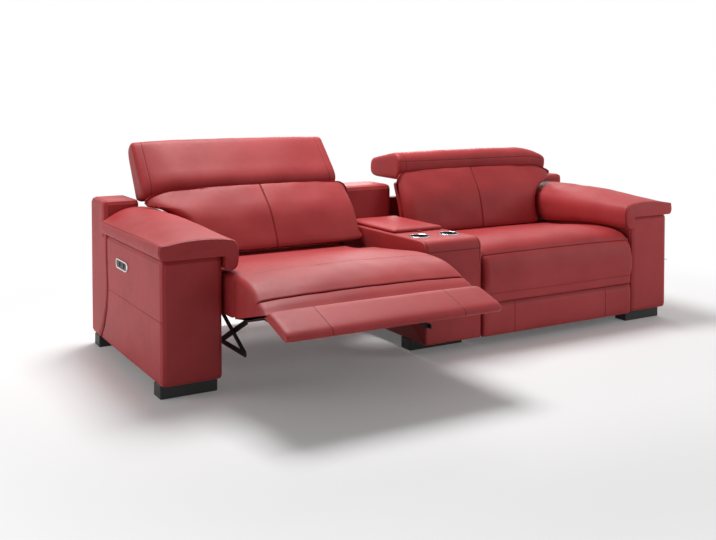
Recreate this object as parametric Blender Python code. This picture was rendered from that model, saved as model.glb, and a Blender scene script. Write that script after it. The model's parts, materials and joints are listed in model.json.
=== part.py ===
"""Home theatre sofa: two reclining seats, a console between them, leather over a timber and steel frame.

Metres, +Z up. X runs to the sitter's left as seen from the front, from the left arm to the right one,
and Y runs to the rear, from the front of the arms. The model's own origin is on the floor, under
the middle of the console's front foot. Every seat is modelled closed, on empties that stand on its
joints, and POSE_SHARES then opens the left seat and raises its headrest.
"""

import bpy
import bmesh
import numpy as np
from math import cos, pi, radians, sin, tan
from mathutils import Matrix, Vector

for old in list(bpy.data.objects):
    bpy.data.objects.remove(old, do_unlink=True)

# The whole sofa
SOFA_WIDTH = 2.50
SOFA_DEPTH = 0.93
BACK_TOP = 0.634
FOOT_HEIGHT = 0.05
TOUCH_GAP = 0.0003  # between pieces that touch
RUN_GAP = 0.0005  # between pieces that turn or slide on each other
OVERRUN = 0.02  # how far a cutter runs past what it cuts

# The arms: a leather box on a timber frame, with a pad on top
ARM_WIDTH = 0.23
ARM_TOP = 0.50
ARM_EDGE_RADIUS = 0.018
COVER_WALL = 0.012
ARM_SEAM_TOP_Y = 0.691  # where the arm's side meets the back's, at the pad
ARM_SEAM_WAIST_Y = 0.676
ARM_SEAM_WAIST_Z = 0.288
ARM_SEAM_FOOT_Y = 0.800
ARM_RAIL = 0.055
ARM_RAIL_THICKNESS = 0.04
ARM_FRAME_INSET = 0.03

ARM_PAD_CROWN = 0.605
ARM_PAD_FRONT_CROWN = 0.572
ARM_PAD_SEAM_HEIGHT = 0.548
ARM_PAD_OVERHANG = 0.015
ARM_PAD_LIP = 0.020
ARM_PAD_REAR = 0.705
ARM_PAD_WRAP = 0.055  # how far the pad reaches over the sitter's side of the arm
ARM_PAD_WRAP_BOTTOM = 0.445

# The fixed back
BACK_POST_WIDTH = 0.154
BACK_POST_FRONT = 0.73
BACK_EDGE_RADIUS = 0.022
BACK_PANEL_THICKNESS = 0.05
BACK_PANEL_BOTTOM = 0.10
BACK_PANEL_TOP = 0.55
CONSOLE_BACK_WIDTH = 0.31
VENT_RADIUS = 0.005  # lets air out of a back section, in front of its foot

# The console
CONSOLE_WIDTH = 0.284
CONSOLE_TOP = 0.475
DECK_THICKNESS = 0.020
DECK_EDGE_RADIUS = 0.008
CONSOLE_WALL = 0.020
CONSOLE_EDGE_RADIUS = 0.012
CUP_BORE = 0.080
CUP_WALL = 0.0015
CUP_DEPTH = 0.070
CUP_RIM_WIDTH = 0.0045
CUP_RIM_HEIGHT = 0.0035
CUP_SPACING = 0.150
CUP_CENTRE_Y = 0.145
BIN_WIDTH = 0.230
BIN_FRONT = 0.285
BIN_REAR = 0.645
BIN_BOTTOM = 0.235
BIN_WALL = 0.006
BIN_MOUTH_STEP = 0.006  # the deck's opening is this much inside the bin's walls
LID_WIDTH = 0.256
LID_FRONT = 0.262
LID_REAR = 0.654
LID_EDGE_HEIGHT = 0.013
LID_CROWN = 0.021
LID_HINGE_Y = 0.665
LID_HINGE_RADIUS = 0.005
LID_HINGE_LENGTH = 0.20

# The feet
FOOT_INSET = 0.007
FOOT_DEPTH = 0.070
FOOT_FRONT_Y = 0.041
CONSOLE_FOOT_FRONT_Y = 0.125
FOOT_REAR_INSET = 0.025  # from the sofa's rear
FOOT_EDGE = 0.003

# The switches on the arms' outer sides
SWITCH_Y = 0.460
SWITCH_Z = 0.4125
SWITCH_LENGTH = 0.140
SWITCH_HEIGHT = 0.036
SWITCH_THICKNESS = 0.005
SWITCH_CORNER = 0.015
BUTTON_RADIUS = 0.009
BUTTON_SPACING = 0.052
BUTTON_PROUD = 0.0025
BUTTON_TRAVEL = 0.0012

# One seat, closed: its clearances and its steel
SEAT_CLEARANCE = 0.009
LEG_INSET = 0.060  # from the cushion's side to the outside of the back's leg
LEG_THICKNESS = 0.012
SIDE_PLATE_THICKNESS = 0.0075
TUBE_RADIUS = 0.014
TUBE_Z = 0.200
TRACK_THICKNESS = 0.012
TRACK_HEIGHT = 0.060
TRACK_SLOT_DEPTH = 0.008
TRACK_END = 0.035
PIVOT_PIN_RADIUS = 0.0065
PIVOT_BOSS_RADIUS = 0.020
SIDE_PLATE_WIDTH = 0.040
SIDE_PLATE_ARM_FRONT = 0.30
SIDE_PLATE_ARM_DEPTH = 0.040
MOTOR_LENGTH = 0.120
MOTOR_WIDTH = 0.100
MOTOR_HEIGHT = 0.075
SCREW_TUBE_RADIUS = 0.016
SCREW_TUBE_FRONT = 0.24

# Joint axes of a closed seat, and how far each one travels
BACK_HINGE_Y = 0.62
BACK_HINGE_Z = 0.33
HEADREST_HINGE_Y = 0.745
HEADREST_HINGE_Z = 0.755
LEGREST_HINGE_Y = 0.030
LEGREST_HINGE_Z = 0.375
CARRIAGE_TRAVEL = 0.114
SEAT_TRAVEL = 0.086
LEGREST_SWING = radians(74.0)
RECLINE = radians(15.6)
HEADREST_LIFT = radians(73.0)

# The seat's frame and cushion
FRAME_FRONT = 0.070
FRAME_REAR = 0.560
FRAME_BOTTOM = 0.280
FRAME_TOP = 0.330
FRAME_RAIL = 0.030
FRAME_WINDOWS = 4
FRAME_INSET = 0.030  # from the cushion's side
EAR_INSET = 0.030  # from the frame's side
EAR_THICKNESS = 0.008
EAR_WIDTH = 0.030
EAR_SETBACK = 0.005
HINGE_PIN_RADIUS = 0.006
HINGE_BOSS_RADIUS = 0.012
LINK_THICKNESS = 0.006
SEAT_NOSE_FRONT = 0.012
SEAT_NOSE_BOTTOM = 0.405
SEAT_RECESS_REAR = 0.112
SEAT_CROWN = 0.450
SEAT_CROWN_DROP = 0.026
SEAT_BACK_LINE_Y = 0.555
SEAT_BACK_LINE_Z = 0.411
SEAT_TAIL_REAR = 0.74
SEAT_TAIL_Z = 0.400
SEAT_TAIL_BOTTOM = 0.350
SEAT_TAIL_CLEARANCE = 0.007
SEAT_END_ROUND = 0.014

# The legrest
LEGREST_TOP = 0.360
LEGREST_BOTTOM = 0.049
LEGREST_BULGE = 0.030
LEGREST_SEAM_Z = 0.229
FLAP_SEAM_Z = 0.190
FLAP_FRONT = 0.007
LEGREST_BACK = 0.018
BOARD_THICKNESS = 0.0147
BOARD_INSET = 0.030
BOARD_EDGE_STEP = 0.010
BOARD_TOP_STEP = 0.003
LINK_BULGE_Y = 0.064
LINK_FOOT_Z = 0.190

# The reclining back and the headrest
BACK_LEAN_RUN_SHARE = 0.36  # how far back, and how far up, the back board goes for its own length
BACK_LEAN_RISE_SHARE = 0.933
BACK_BOARD_LOW = 0.095  # along the lean, from the hinge
BACK_BOARD_HIGH = 0.330
BACK_BOARD_THICKNESS = 0.012
BACK_CUSHION_FOOT_Y = 0.555
BACK_CUSHION_FOOT_Z = 0.416
BACK_CUSHION_TOP_Y = 0.660
BACK_CUSHION_TOP_Z = 0.700
BACK_CUSHION_WAIST_Z = 0.622  # above the back's hinge; higher up the cushion spreads over the arm pad
BACK_CUSHION_WAIST_STEP = 0.006  # the height over which it spreads
BACK_CUSHION_INNER_CLEARANCE = 0.014
BACK_CUSHION_ARM_CLEARANCE = 0.010
BACK_CUSHION_SPREAD = 0.105
BACK_CUSHION_END_ROUND = 0.035
HEADREST_SWEEP = 0.109  # how far the back cushion's top keeps from the headrest's axis, below it
HEADREST_INNER_CLEARANCE = 0.010
HEADREST_OUTER_REACH = 0.070  # past the seat's own side
HEADREST_FRONT = 0.677
HEADREST_REAR = 0.960
HEADREST_TOP = 0.790
HEADREST_REAR_TOP = 0.752
HEADREST_BOTTOM = 0.655
HEADREST_REAR_TIP_Z = 0.709
HEADREST_END_ROUND = 0.016
HEADREST_ROD_RADIUS = 0.008
HEADREST_ROD_LENGTH = 0.62
HEADREST_EAR_INSET = 0.018  # from the rod's end
HEADREST_EAR_THICKNESS = 0.012
HEADREST_EAR_RADIUS = 0.017
HEADREST_SLOT_MARGIN = 0.004

# Places worked out from the sizes
ARM_OUTER = SOFA_WIDTH / 2
ARM_INNER = ARM_OUTER - ARM_WIDTH
CONSOLE_SIDE = CONSOLE_WIDTH / 2
SEAT_CENTRE = (ARM_INNER + CONSOLE_SIDE) / 2
OPENING_HALF = (ARM_INNER - CONSOLE_SIDE) / 2
SEAT_HALF = OPENING_HALF - SEAT_CLEARANCE
LEG_OUTER = SEAT_HALF - LEG_INSET
LEG_INNER = LEG_OUTER - LEG_THICKNESS
SIDE_PLATE_OUTER = LEG_INNER - RUN_GAP
SIDE_PLATE_INNER = SIDE_PLATE_OUTER - SIDE_PLATE_THICKNESS
FRAME_HALF = SEAT_HALF - FRAME_INSET
EAR_OUTER = FRAME_HALF - EAR_INSET
EAR_INNER = EAR_OUTER - EAR_THICKNESS
LINK_OUTER = EAR_INNER - RUN_GAP
LINK_INNER = LINK_OUTER - LINK_THICKNESS
TRACK_INNER = OPENING_HALF - TOUCH_GAP - TRACK_THICKNESS
TUBE_HALF = TRACK_INNER + TRACK_SLOT_DEPTH - RUN_GAP
DECK_BOTTOM = CONSOLE_TOP - DECK_THICKNESS
FOOT_REAR_Y = SOFA_DEPTH - FOOT_REAR_INSET - FOOT_DEPTH
ORIGIN_Y = CONSOLE_FOOT_FRONT_Y + FOOT_DEPTH / 2
ROUND_SEGMENTS = 24
SMALL_ROUND_SEGMENTS = 12


# Materials

def make_material(name, colour, roughness, metallic):
    made = bpy.data.materials.new(name)
    made.use_nodes = True
    shader = made.node_tree.nodes["Principled BSDF"]
    shader.inputs["Base Color"].default_value = (*colour, 1.0)
    shader.inputs["Roughness"].default_value = roughness
    shader.inputs["Metallic"].default_value = metallic
    return made


FINISHES = {
    "red_leather": ((0.30, 0.012, 0.016), 0.42, 0.0),
    "timber": ((0.56, 0.40, 0.24), 0.70, 0.0),
    "black_steel": ((0.02, 0.02, 0.02), 0.45, 0.6),
    "chrome": ((0.80, 0.80, 0.82), 0.12, 1.0),
    "black_plastic": ((0.02, 0.02, 0.02), 0.50, 0.0),
}


# Empties that carry the pieces

def make_empty(name, place, parent=None):
    """An empty at a place given in the sofa's coordinates, under a parent that is still unturned."""
    empty = bpy.data.objects.new(name, None)
    bpy.context.collection.objects.link(empty)
    empty.parent = parent
    empty["place"] = list(place)
    origin = Vector(parent["place"]) if parent else Vector((0.0, 0.0, 0.0))
    empty.location = Vector(place) - origin
    return empty


SOFA = make_empty("sofa", (0.0, 0.0, 0.0))


# Meshes

def add_piece(name, bm, finish, carrier=SOFA, smooth_angle=None):
    """One named object from a bmesh in the sofa's coordinates, hung on its carrier."""
    if bm.calc_volume(signed=True) < 0:
        bmesh.ops.reverse_faces(bm, faces=bm.faces[:])
    mesh = bpy.data.meshes.new(name)
    bm.to_mesh(mesh)
    bm.free()
    mesh.transform(Matrix.Translation(-Vector(carrier["place"])))
    piece = bpy.data.objects.new(name, mesh)
    bpy.context.collection.objects.link(piece)
    piece.parent = carrier
    colour, roughness, metallic = FINISHES[finish]
    mesh.materials.append(make_material(name + "_" + finish, colour, roughness, metallic))
    if smooth_angle is not None:
        mesh.shade_smooth()
        mesh.set_sharp_from_angle(angle=smooth_angle)
    return piece


def prism(outline, axis, low, high):
    """A bmesh from an outline in the plane square to an axis, drawn out from low to high."""
    order = {"x": (0, 1, 2), "y": (1, 0, 2), "z": (2, 0, 1)}[axis]
    bm = bmesh.new()
    rings = []
    for along in (low, high):
        ring = []
        for a, b in outline:
            point = [0.0, 0.0, 0.0]
            point[order[0]], point[order[1]], point[order[2]] = along, a, b
            ring.append(bm.verts.new(point))
        rings.append(ring)
    join_rings(bm, rings)
    return bm


def join_rings(bm, rings, cap_centres=None):
    """Walls between closed rings of vertices, and a cap on the first and the last, flat or fanned."""
    count = len(rings[0])
    for first, second in zip(rings, rings[1:]):
        for i in range(count):
            j = (i + 1) % count
            bm.faces.new((first[i], first[j], second[j], second[i]))
    caps = (rings[0][::-1], rings[-1])
    if cap_centres is None:
        for cap in caps:
            bm.faces.new(cap)
        return
    for cap, place in zip(caps, cap_centres):
        centre = bm.verts.new(place)
        for i in range(count):
            bm.faces.new((cap[i], cap[(i + 1) % count], centre))


def block(low, high):
    """A bmesh box between two corners."""
    outline = [(low[0], low[1]), (high[0], low[1]), (high[0], high[1]), (low[0], high[1])]
    return prism(outline, "z", low[2], high[2])


def disc_outline(centre, radius, segments):
    return [
        (centre[0] + radius * cos(2 * pi * i / segments), centre[1] + radius * sin(2 * pi * i / segments))
        for i in range(segments)
    ]


def rod(centre, radius, low, high, segments=SMALL_ROUND_SEGMENTS, axis="x"):
    """A round bar along an axis, about a centre in the other two coordinates."""
    return prism(disc_outline(centre, radius, segments), axis, low, high)


def mirrored(low, high, side):
    """A span of X on the seat's or sofa's right, given for either side."""
    return (low, high) if side > 0 else (-high, -low)


def round_edges(piece, radius, segments=2):
    bevel = piece.modifiers.new("rounded_edges", "BEVEL")
    bevel.width = radius
    bevel.segments = segments
    bevel.limit_method = "ANGLE"
    bevel.angle_limit = radians(50)
    bevel.use_clamp_overlap = True


def combine(piece, tool_mesh, operation, name):
    """A Boolean with a helper mesh that is given in the sofa's coordinates."""
    helper = add_piece(name, tool_mesh, "black_plastic", bpy.data.objects[piece.parent.name])
    helper.hide_render = True
    helper.display_type = "WIRE"
    helper.hide_set(True)
    boolean = piece.modifiers.new(name, "BOOLEAN")
    boolean.operation = operation
    boolean.solver = "EXACT"
    boolean.object = helper


def cut(piece, tool_mesh, name):
    combine(piece, tool_mesh, "DIFFERENCE", name)


def join(piece, tool_mesh, name):
    combine(piece, tool_mesh, "UNION", name)


def loft(stations):
    """A closed skin through closed rings of (y, z) points, each at its own x."""
    bm = bmesh.new()
    rings = [[bm.verts.new((x, y, z)) for y, z in ring] for x, ring in stations]
    join_rings(bm, rings)
    return bm


def shrunk(ring, by):
    """A ring of (y, z) points drawn in towards its middle by a length."""
    points = np.array(ring)
    middle = points.mean(axis=0)
    half = (points.max(axis=0) - points.min(axis=0)) / 2
    share = 1 - np.minimum(by / half, 0.7)
    return [tuple(middle + (point - middle) * share) for point in points]


# The fixed parts

SEAM_STEP_SHARES = (0.0, 0.35, 0.7, 1.0)


def arm_seam(offset):
    """The line down the arm's side where its cover meets the back's, as (y, z) points from the top."""
    top, waist, foot = ARM_SEAM_TOP_Y, ARM_SEAM_WAIST_Y, ARM_SEAM_FOOT_Y
    middle = ((top + waist) / 2 + offset, (ARM_TOP + ARM_SEAM_WAIST_Z) / 2)
    points = [(top + offset, ARM_TOP), middle]
    drop = ARM_SEAM_WAIST_Z - FOOT_HEIGHT
    for share in SEAM_STEP_SHARES:
        y = waist + (foot - waist) * share ** 2
        points.append((y + offset, ARM_SEAM_WAIST_Z - drop * share))
    return points


def make_arm(side, word):
    low, high = mirrored(ARM_INNER, ARM_OUTER, side)
    outline = [(0.0, FOOT_HEIGHT), (0.0, ARM_TOP)] + arm_seam(0.0)
    cover = add_piece(word + "_arm_cover", prism(outline, "x", low, high), "red_leather")
    round_edges(cover, ARM_EDGE_RADIUS)
    inside = block(
        (low + COVER_WALL, COVER_WALL, FOOT_HEIGHT - OVERRUN),
        (high - COVER_WALL, ARM_SEAM_WAIST_Y - COVER_WALL, ARM_TOP - COVER_WALL),
    )
    cut(cover, inside, word + "_arm_inside")

    middle = side * (ARM_INNER + ARM_OUTER) / 2
    half = ARM_RAIL_THICKNESS / 2
    front, rear = ARM_FRAME_INSET, ARM_SEAM_WAIST_Y - ARM_FRAME_INSET
    bottom, top = FOOT_HEIGHT + TOUCH_GAP, ARM_TOP - COVER_WALL - TOUCH_GAP
    ladder = block((middle - half, front, bottom), (middle + half, rear, top))
    frame = add_piece(word + "_arm_frame", ladder, "timber")
    window = block(
        (middle - half - OVERRUN, front + ARM_RAIL, bottom + ARM_RAIL),
        (middle + half + OVERRUN, rear - ARM_RAIL, top - ARM_RAIL),
    )
    cut(frame, window, word + "_arm_frame_window")
    make_arm_pad(side, word)


# The pad's section: its outer edge as shares of the overhang and of the height up to the seam, its top as
# shares of the width and of the rise above the seam, and its wrap as shares of the wrap's width and drop
ARM_PAD_EDGE_SHARES = ((1 / 3, 0.15), (0.0, 0.60))
ARM_PAD_TOP_SHARES = ((0.05, 0.25), (0.22, 0.80), (0.45, 1.0), (0.72, 0.90), (0.90, 0.40), (1.0, -0.20))
ARM_PAD_WRAP_SHARES = ((0.03, 0.93), (0.25, 0.15), (0.60, 0.0))
ARM_PAD_WRAP_HEEL_SHARE = 0.12
# Along the pad from its front: how far, how much it is drawn in, and its share of the rise to the full crown
ARM_PAD_STATION_SHARES = (
    (0.0, 0.50, 0.0), (0.012, 0.20, 0.06), (0.045, 0.04, 0.16), (0.15, 0.0, 0.37), (0.40, 0.0, 0.73),
    (0.70, 0.0, 1.0), (0.90, 0.0, 1.0), (0.965, 0.06, 1.0), (0.99, 0.22, 1.0), (1.0, 0.48, 1.0),
)


def arm_pad_ring(crown):
    """The pad's section as (x, z) points, for the right arm, from its outer lower edge over the top."""
    low = ARM_TOP + TOUCH_GAP
    outer = ARM_OUTER + ARM_PAD_OVERHANG
    inner = ARM_INNER - ARM_PAD_WRAP
    width = outer - inner
    lip = ARM_PAD_SEAM_HEIGHT - low
    rise = crown - ARM_PAD_SEAM_HEIGHT
    drop = low - ARM_PAD_WRAP_BOTTOM
    edge = [(outer - ARM_PAD_OVERHANG * across, low + lip * up) for across, up in ARM_PAD_EDGE_SHARES]
    top = [(outer - width * across, ARM_PAD_SEAM_HEIGHT + rise * up) for across, up in ARM_PAD_TOP_SHARES]
    wrap = [(inner + ARM_PAD_WRAP * across, low - drop * (1 - up)) for across, up in ARM_PAD_WRAP_SHARES]
    heel = [(ARM_INNER - TOUCH_GAP, low - drop * (1 - ARM_PAD_WRAP_HEEL_SHARE)), (ARM_INNER - TOUCH_GAP, low)]
    return [(ARM_OUTER - ARM_EDGE_RADIUS, low)] + edge + top + wrap + heel


def make_arm_pad(side, word):
    """The pad is drawn along Y, so its rings are in (x, z)."""
    length = ARM_PAD_REAR + ARM_PAD_LIP
    low = ARM_TOP + TOUCH_GAP
    bm = bmesh.new()
    rings = []
    for along, drawn, raised in ARM_PAD_STATION_SHARES:
        y = -ARM_PAD_LIP + length * along
        ring = []
        for x, z in arm_pad_ring(ARM_PAD_FRONT_CROWN + (ARM_PAD_CROWN - ARM_PAD_FRONT_CROWN) * raised):
            near = min(ARM_OUTER - ARM_EDGE_RADIUS, max(ARM_INNER - TOUCH_GAP, x))
            ring.append((near + (x - near) * (1 - drawn), low + (z - low) * (1 - drawn)))
        rings.append([bm.verts.new((side * x, y, z)) for x, z in ring])
    join_rings(bm, rings)
    add_piece(word + "_arm_pad", bm, "red_leather", smooth_angle=radians(50))


def vent(x):
    """A hole up through the floor of a back section, between its hollow's front and its foot."""
    place = (x, ARM_SEAM_FOOT_Y + COVER_WALL + 2 * VENT_RADIUS)
    high = FOOT_HEIGHT + 2 * COVER_WALL
    return rod(place, VENT_RADIUS, FOOT_HEIGHT - OVERRUN, high, SMALL_ROUND_SEGMENTS, "z")


def make_back_cover(side, word):
    """A post behind the arm and the low panel behind the seat, one upholstered piece."""
    inner = ARM_OUTER - BACK_POST_WIDTH
    low, high = mirrored(inner, ARM_OUTER, side)
    front = [(BACK_POST_FRONT, BACK_TOP), (BACK_POST_FRONT, ARM_TOP)] + arm_seam(TOUCH_GAP)
    outline = [(SOFA_DEPTH, FOOT_HEIGHT), (SOFA_DEPTH, BACK_TOP)] + front
    post = add_piece(word + "_back_cover", prism(outline, "x", low, high), "red_leather")
    round_edges(post, BACK_EDGE_RADIUS)
    inside = block(
        (low + COVER_WALL, ARM_SEAM_FOOT_Y + COVER_WALL, FOOT_HEIGHT + COVER_WALL),
        (high - COVER_WALL, SOFA_DEPTH - COVER_WALL, BACK_TOP - COVER_WALL),
    )
    cut(post, inside, word + "_post_inside")
    cut(post, vent((low + high) / 2), word + "_post_vent")
    reach = mirrored(CONSOLE_BACK_WIDTH / 2 + TOUCH_GAP, inner + COVER_WALL / 2, side)
    panel = block(
        (reach[0], SOFA_DEPTH - BACK_PANEL_THICKNESS, BACK_PANEL_BOTTOM),
        (reach[1], SOFA_DEPTH - TOUCH_GAP, BACK_PANEL_TOP),
    )
    join(post, panel, word + "_back_panel")


def make_console():
    side = CONSOLE_SIDE
    rear = BACK_POST_FRONT - TOUCH_GAP
    shell_top = DECK_BOTTOM - TOUCH_GAP
    shell = add_piece("console_shell", block((-side, 0.0, FOOT_HEIGHT), (side, rear, shell_top)), "red_leather")
    round_edges(shell, CONSOLE_EDGE_RADIUS)
    inside = block(
        (CONSOLE_WALL - side, CONSOLE_WALL, FOOT_HEIGHT - OVERRUN),
        (side - CONSOLE_WALL, rear - CONSOLE_WALL, shell_top + OVERRUN),
    )
    cut(shell, inside, "console_inside")

    deck = add_piece("console_deck", block((-side, 0.0, DECK_BOTTOM), (side, rear, CONSOLE_TOP)), "red_leather")
    round_edges(deck, DECK_EDGE_RADIUS)
    hole = CUP_BORE / 2 + CUP_WALL + RUN_GAP
    for sign, word in ((-1, "left"), (1, "right")):
        centre = (sign * CUP_SPACING / 2, CUP_CENTRE_Y)
        bore = rod(centre, hole, DECK_BOTTOM - OVERRUN, CONSOLE_TOP + OVERRUN, ROUND_SEGMENTS, "z")
        cut(deck, bore, word + "_cup_hole")
        make_cup(centre, word)
    mouth = BIN_WALL + BIN_MOUTH_STEP
    opening = block(
        (mouth - BIN_WIDTH / 2, BIN_FRONT + mouth, DECK_BOTTOM - OVERRUN),
        (BIN_WIDTH / 2 - mouth, BIN_REAR - mouth, CONSOLE_TOP + OVERRUN),
    )
    cut(deck, opening, "bin_mouth")

    bin_top = DECK_BOTTOM - TOUCH_GAP
    bin_box = block((-BIN_WIDTH / 2, BIN_FRONT, BIN_BOTTOM), (BIN_WIDTH / 2, BIN_REAR, bin_top))
    storage = add_piece("storage_bin", bin_box, "black_plastic")
    hollow = block(
        (BIN_WALL - BIN_WIDTH / 2, BIN_FRONT + BIN_WALL, BIN_BOTTOM + BIN_WALL),
        (BIN_WIDTH / 2 - BIN_WALL, BIN_REAR - BIN_WALL, bin_top + OVERRUN),
    )
    cut(storage, hollow, "bin_inside")

    half = CONSOLE_BACK_WIDTH / 2
    back_box = block((-half, BACK_POST_FRONT, FOOT_HEIGHT), (half, SOFA_DEPTH, BACK_TOP))
    back = add_piece("console_back_cover", back_box, "red_leather")
    round_edges(back, BACK_EDGE_RADIUS)
    back_inside = block(
        (COVER_WALL - half, BACK_POST_FRONT + COVER_WALL, FOOT_HEIGHT + COVER_WALL),
        (half - COVER_WALL, SOFA_DEPTH - COVER_WALL, BACK_TOP - COVER_WALL),
    )
    cut(back, back_inside, "console_back_inside")
    cut(back, vent(0.0), "console_back_vent")


def make_cup(centre, word):
    """A turned cup with a rim that rests on the deck."""
    bore = CUP_BORE / 2
    rim_low = CONSOLE_TOP + TOUCH_GAP
    rim_high = rim_low + CUP_RIM_HEIGHT
    floor = CONSOLE_TOP - CUP_DEPTH
    profile = [
        (0.0, floor - CUP_WALL),
        (bore + CUP_WALL, floor - CUP_WALL),
        (bore + CUP_WALL, rim_low),
        (bore + CUP_WALL + CUP_RIM_WIDTH, rim_low),
        (bore + CUP_WALL + CUP_RIM_WIDTH, rim_low + CUP_RIM_HEIGHT / 2),
        (bore + CUP_RIM_WIDTH / 2, rim_high),
        (bore, rim_low),
        (bore, floor),
        (0.0, floor),
    ]
    bm = bmesh.new()
    rings = []
    for i in range(ROUND_SEGMENTS):
        turn = 2 * pi * i / ROUND_SEGMENTS
        ring = [
            bm.verts.new((centre[0] + r * cos(turn), centre[1] + r * sin(turn), z)) for r, z in profile[1:-1]
        ]
        rings.append(ring)
    bottom = bm.verts.new((centre[0], centre[1], profile[0][1]))
    inside = bm.verts.new((centre[0], centre[1], profile[-1][1]))
    for first, second in zip(rings, rings[1:] + rings[:1]):
        bm.faces.new((bottom, first[0], second[0]))
        bm.faces.new((inside, second[-1], first[-1]))
        for k in range(len(first) - 1):
            bm.faces.new((first[k], first[k + 1], second[k + 1], second[k]))
    add_piece("cup_holder_" + word, bm, "chrome", smooth_angle=radians(40))


def make_feet():
    arm_middle = (ARM_INNER + ARM_OUTER) / 2
    arm_half = ARM_WIDTH / 2 - FOOT_INSET
    console_half = CONSOLE_SIDE - FOOT_INSET
    places = (("left", -arm_middle, arm_half), ("console", 0.0, console_half), ("right", arm_middle, arm_half))
    for word, middle, half in places:
        near = CONSOLE_FOOT_FRONT_Y if word == "console" else FOOT_FRONT_Y
        for end, front in (("front", near), ("rear", FOOT_REAR_Y)):
            top = FOOT_HEIGHT - TOUCH_GAP
            box = block((middle - half, front, 0.0), (middle + half, front + FOOT_DEPTH, top))
            foot = add_piece(word + "_" + end + "_foot", box, "black_plastic")
            round_edges(foot, FOOT_EDGE, 1)


def rounded_outline(centre, length, height, radius, steps=3):
    """A rectangle with round corners, as points about a centre."""
    points = []
    corners = ((1, 1, 0.0), (-1, 1, pi / 2), (-1, -1, pi), (1, -1, 3 * pi / 2))
    for across, up, start in corners:
        middle = (centre[0] + across * (length / 2 - radius), centre[1] + up * (height / 2 - radius))
        for i in range(steps + 1):
            turn = start + pi / 2 * i / steps
            points.append((middle[0] + radius * cos(turn), middle[1] + radius * sin(turn)))
    return points


def make_switch(side, word):
    low, high = mirrored(ARM_OUTER + TOUCH_GAP, ARM_OUTER + TOUCH_GAP + SWITCH_THICKNESS, side)
    outline = rounded_outline((SWITCH_Y, SWITCH_Z), SWITCH_LENGTH, SWITCH_HEIGHT, SWITCH_CORNER)
    plate = add_piece(word + "_switch_plate", prism(outline, "x", low, high), "chrome")
    for sign, end in ((-1, "front"), (1, "rear")):
        centre = (SWITCH_Y + sign * BUTTON_SPACING / 2, SWITCH_Z)
        hole = rod(centre, BUTTON_RADIUS + RUN_GAP, low - OVERRUN, high + OVERRUN, ROUND_SEGMENTS)
        cut(plate, hole, word + "_" + end + "_button_hole")
        place = (side * ARM_OUTER, centre[0], centre[1])
        carrier = make_empty(word + "_" + end + "_button_slide", place, SOFA)
        inner = ARM_OUTER + TOUCH_GAP + BUTTON_TRAVEL + RUN_GAP
        outer = ARM_OUTER + TOUCH_GAP + SWITCH_THICKNESS + BUTTON_PROUD
        span = mirrored(inner, outer, side)
        button = rod(centre, BUTTON_RADIUS, span[0], span[1], ROUND_SEGMENTS)
        add_piece(word + "_" + end + "_button", button, "black_plastic", carrier, radians(40))


def make_lid():
    """The padded lid of the console's box, and the hinge barrel behind it."""
    low = CONSOLE_TOP + TOUCH_GAP
    hinge_z = low + LID_HINGE_RADIUS
    carrier = make_empty("console_lid_hinge_axis", (0.0, LID_HINGE_Y, hinge_z), SOFA)
    depth = LID_REAR - LID_FRONT
    top = [
        (LID_REAR - depth * share, low + LID_EDGE_HEIGHT + (LID_CROWN - LID_EDGE_HEIGHT) * rise)
        for share, rise in LID_TOP_SHARES
    ]
    ring = [(LID_FRONT, low + LID_EDGE_HEIGHT / 3), (LID_FRONT + LID_EDGE_HEIGHT / 3, low)]
    ring += [(LID_REAR - LID_EDGE_HEIGHT / 3, low), (LID_REAR, low + LID_EDGE_HEIGHT / 3)] + top
    half = LID_WIDTH / 2
    stations = []
    for share, crown in LID_STATION_SHARES:
        flat = [(y, low + (z - low) * crown) for y, z in ring]
        if abs(share) == 1.0:
            flat = [(y, low + (z - low) * crown) for y, z in shrunk_flat(ring, LID_EDGE_HEIGHT / 2)]
        stations.append((share * half, flat))
    add_piece("console_lid", loft(stations), "red_leather", carrier, radians(50))
    barrel = rod(
        (LID_HINGE_Y, hinge_z), LID_HINGE_RADIUS, -LID_HINGE_LENGTH / 2, LID_HINGE_LENGTH / 2
    )
    add_piece("console_lid_hinge", barrel, "chrome", SOFA, radians(40))


def shrunk_flat(ring, by):
    """A ring drawn in along Y alone."""
    values = [y for y, z in ring]
    middle = (max(values) + min(values)) / 2
    half = (max(values) - min(values)) / 2
    return [(middle + (y - middle) * (1 - by / half), z) for y, z in ring]


LID_TOP_SHARES = ((0.0, 0.0), (0.04, 0.45), (0.15, 0.85), (0.5, 1.0), (0.85, 0.85), (0.96, 0.45), (1.0, 0.0))
LID_STATION_SHARES = (
    (-1.0, 0.62), (-0.96, 0.82), (-0.80, 0.97), (-0.4, 1.0), (0.4, 1.0), (0.80, 0.97), (0.96, 0.82), (1.0, 0.62)
)


# One seat

def seat_empties(side, word):
    """The joints of a closed seat: the carriage on its tracks, the seat, legrest, back and headrest."""
    x = side * SEAT_CENTRE
    carriage = make_empty(word + "_carriage_slide", (x, 0.0, 0.0), SOFA)
    seat = make_empty(word + "_seat_slide", (x, 0.0, 0.0), carriage)
    legrest = make_empty(word + "_legrest_hinge", (x, LEGREST_HINGE_Y, LEGREST_HINGE_Z), seat)
    back = make_empty(word + "_back_hinge", (x, BACK_HINGE_Y, BACK_HINGE_Z), carriage)
    headrest = make_empty(word + "_headrest_hinge", (x, HEADREST_HINGE_Y, HEADREST_HINGE_Z), back)
    return carriage, seat, legrest, back, headrest


def end_words(side):
    """Names of a seat's left and right ends, inner towards the console."""
    return {-1: "inner", 1: "outer"} if side > 0 else {-1: "outer", 1: "inner"}


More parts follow.
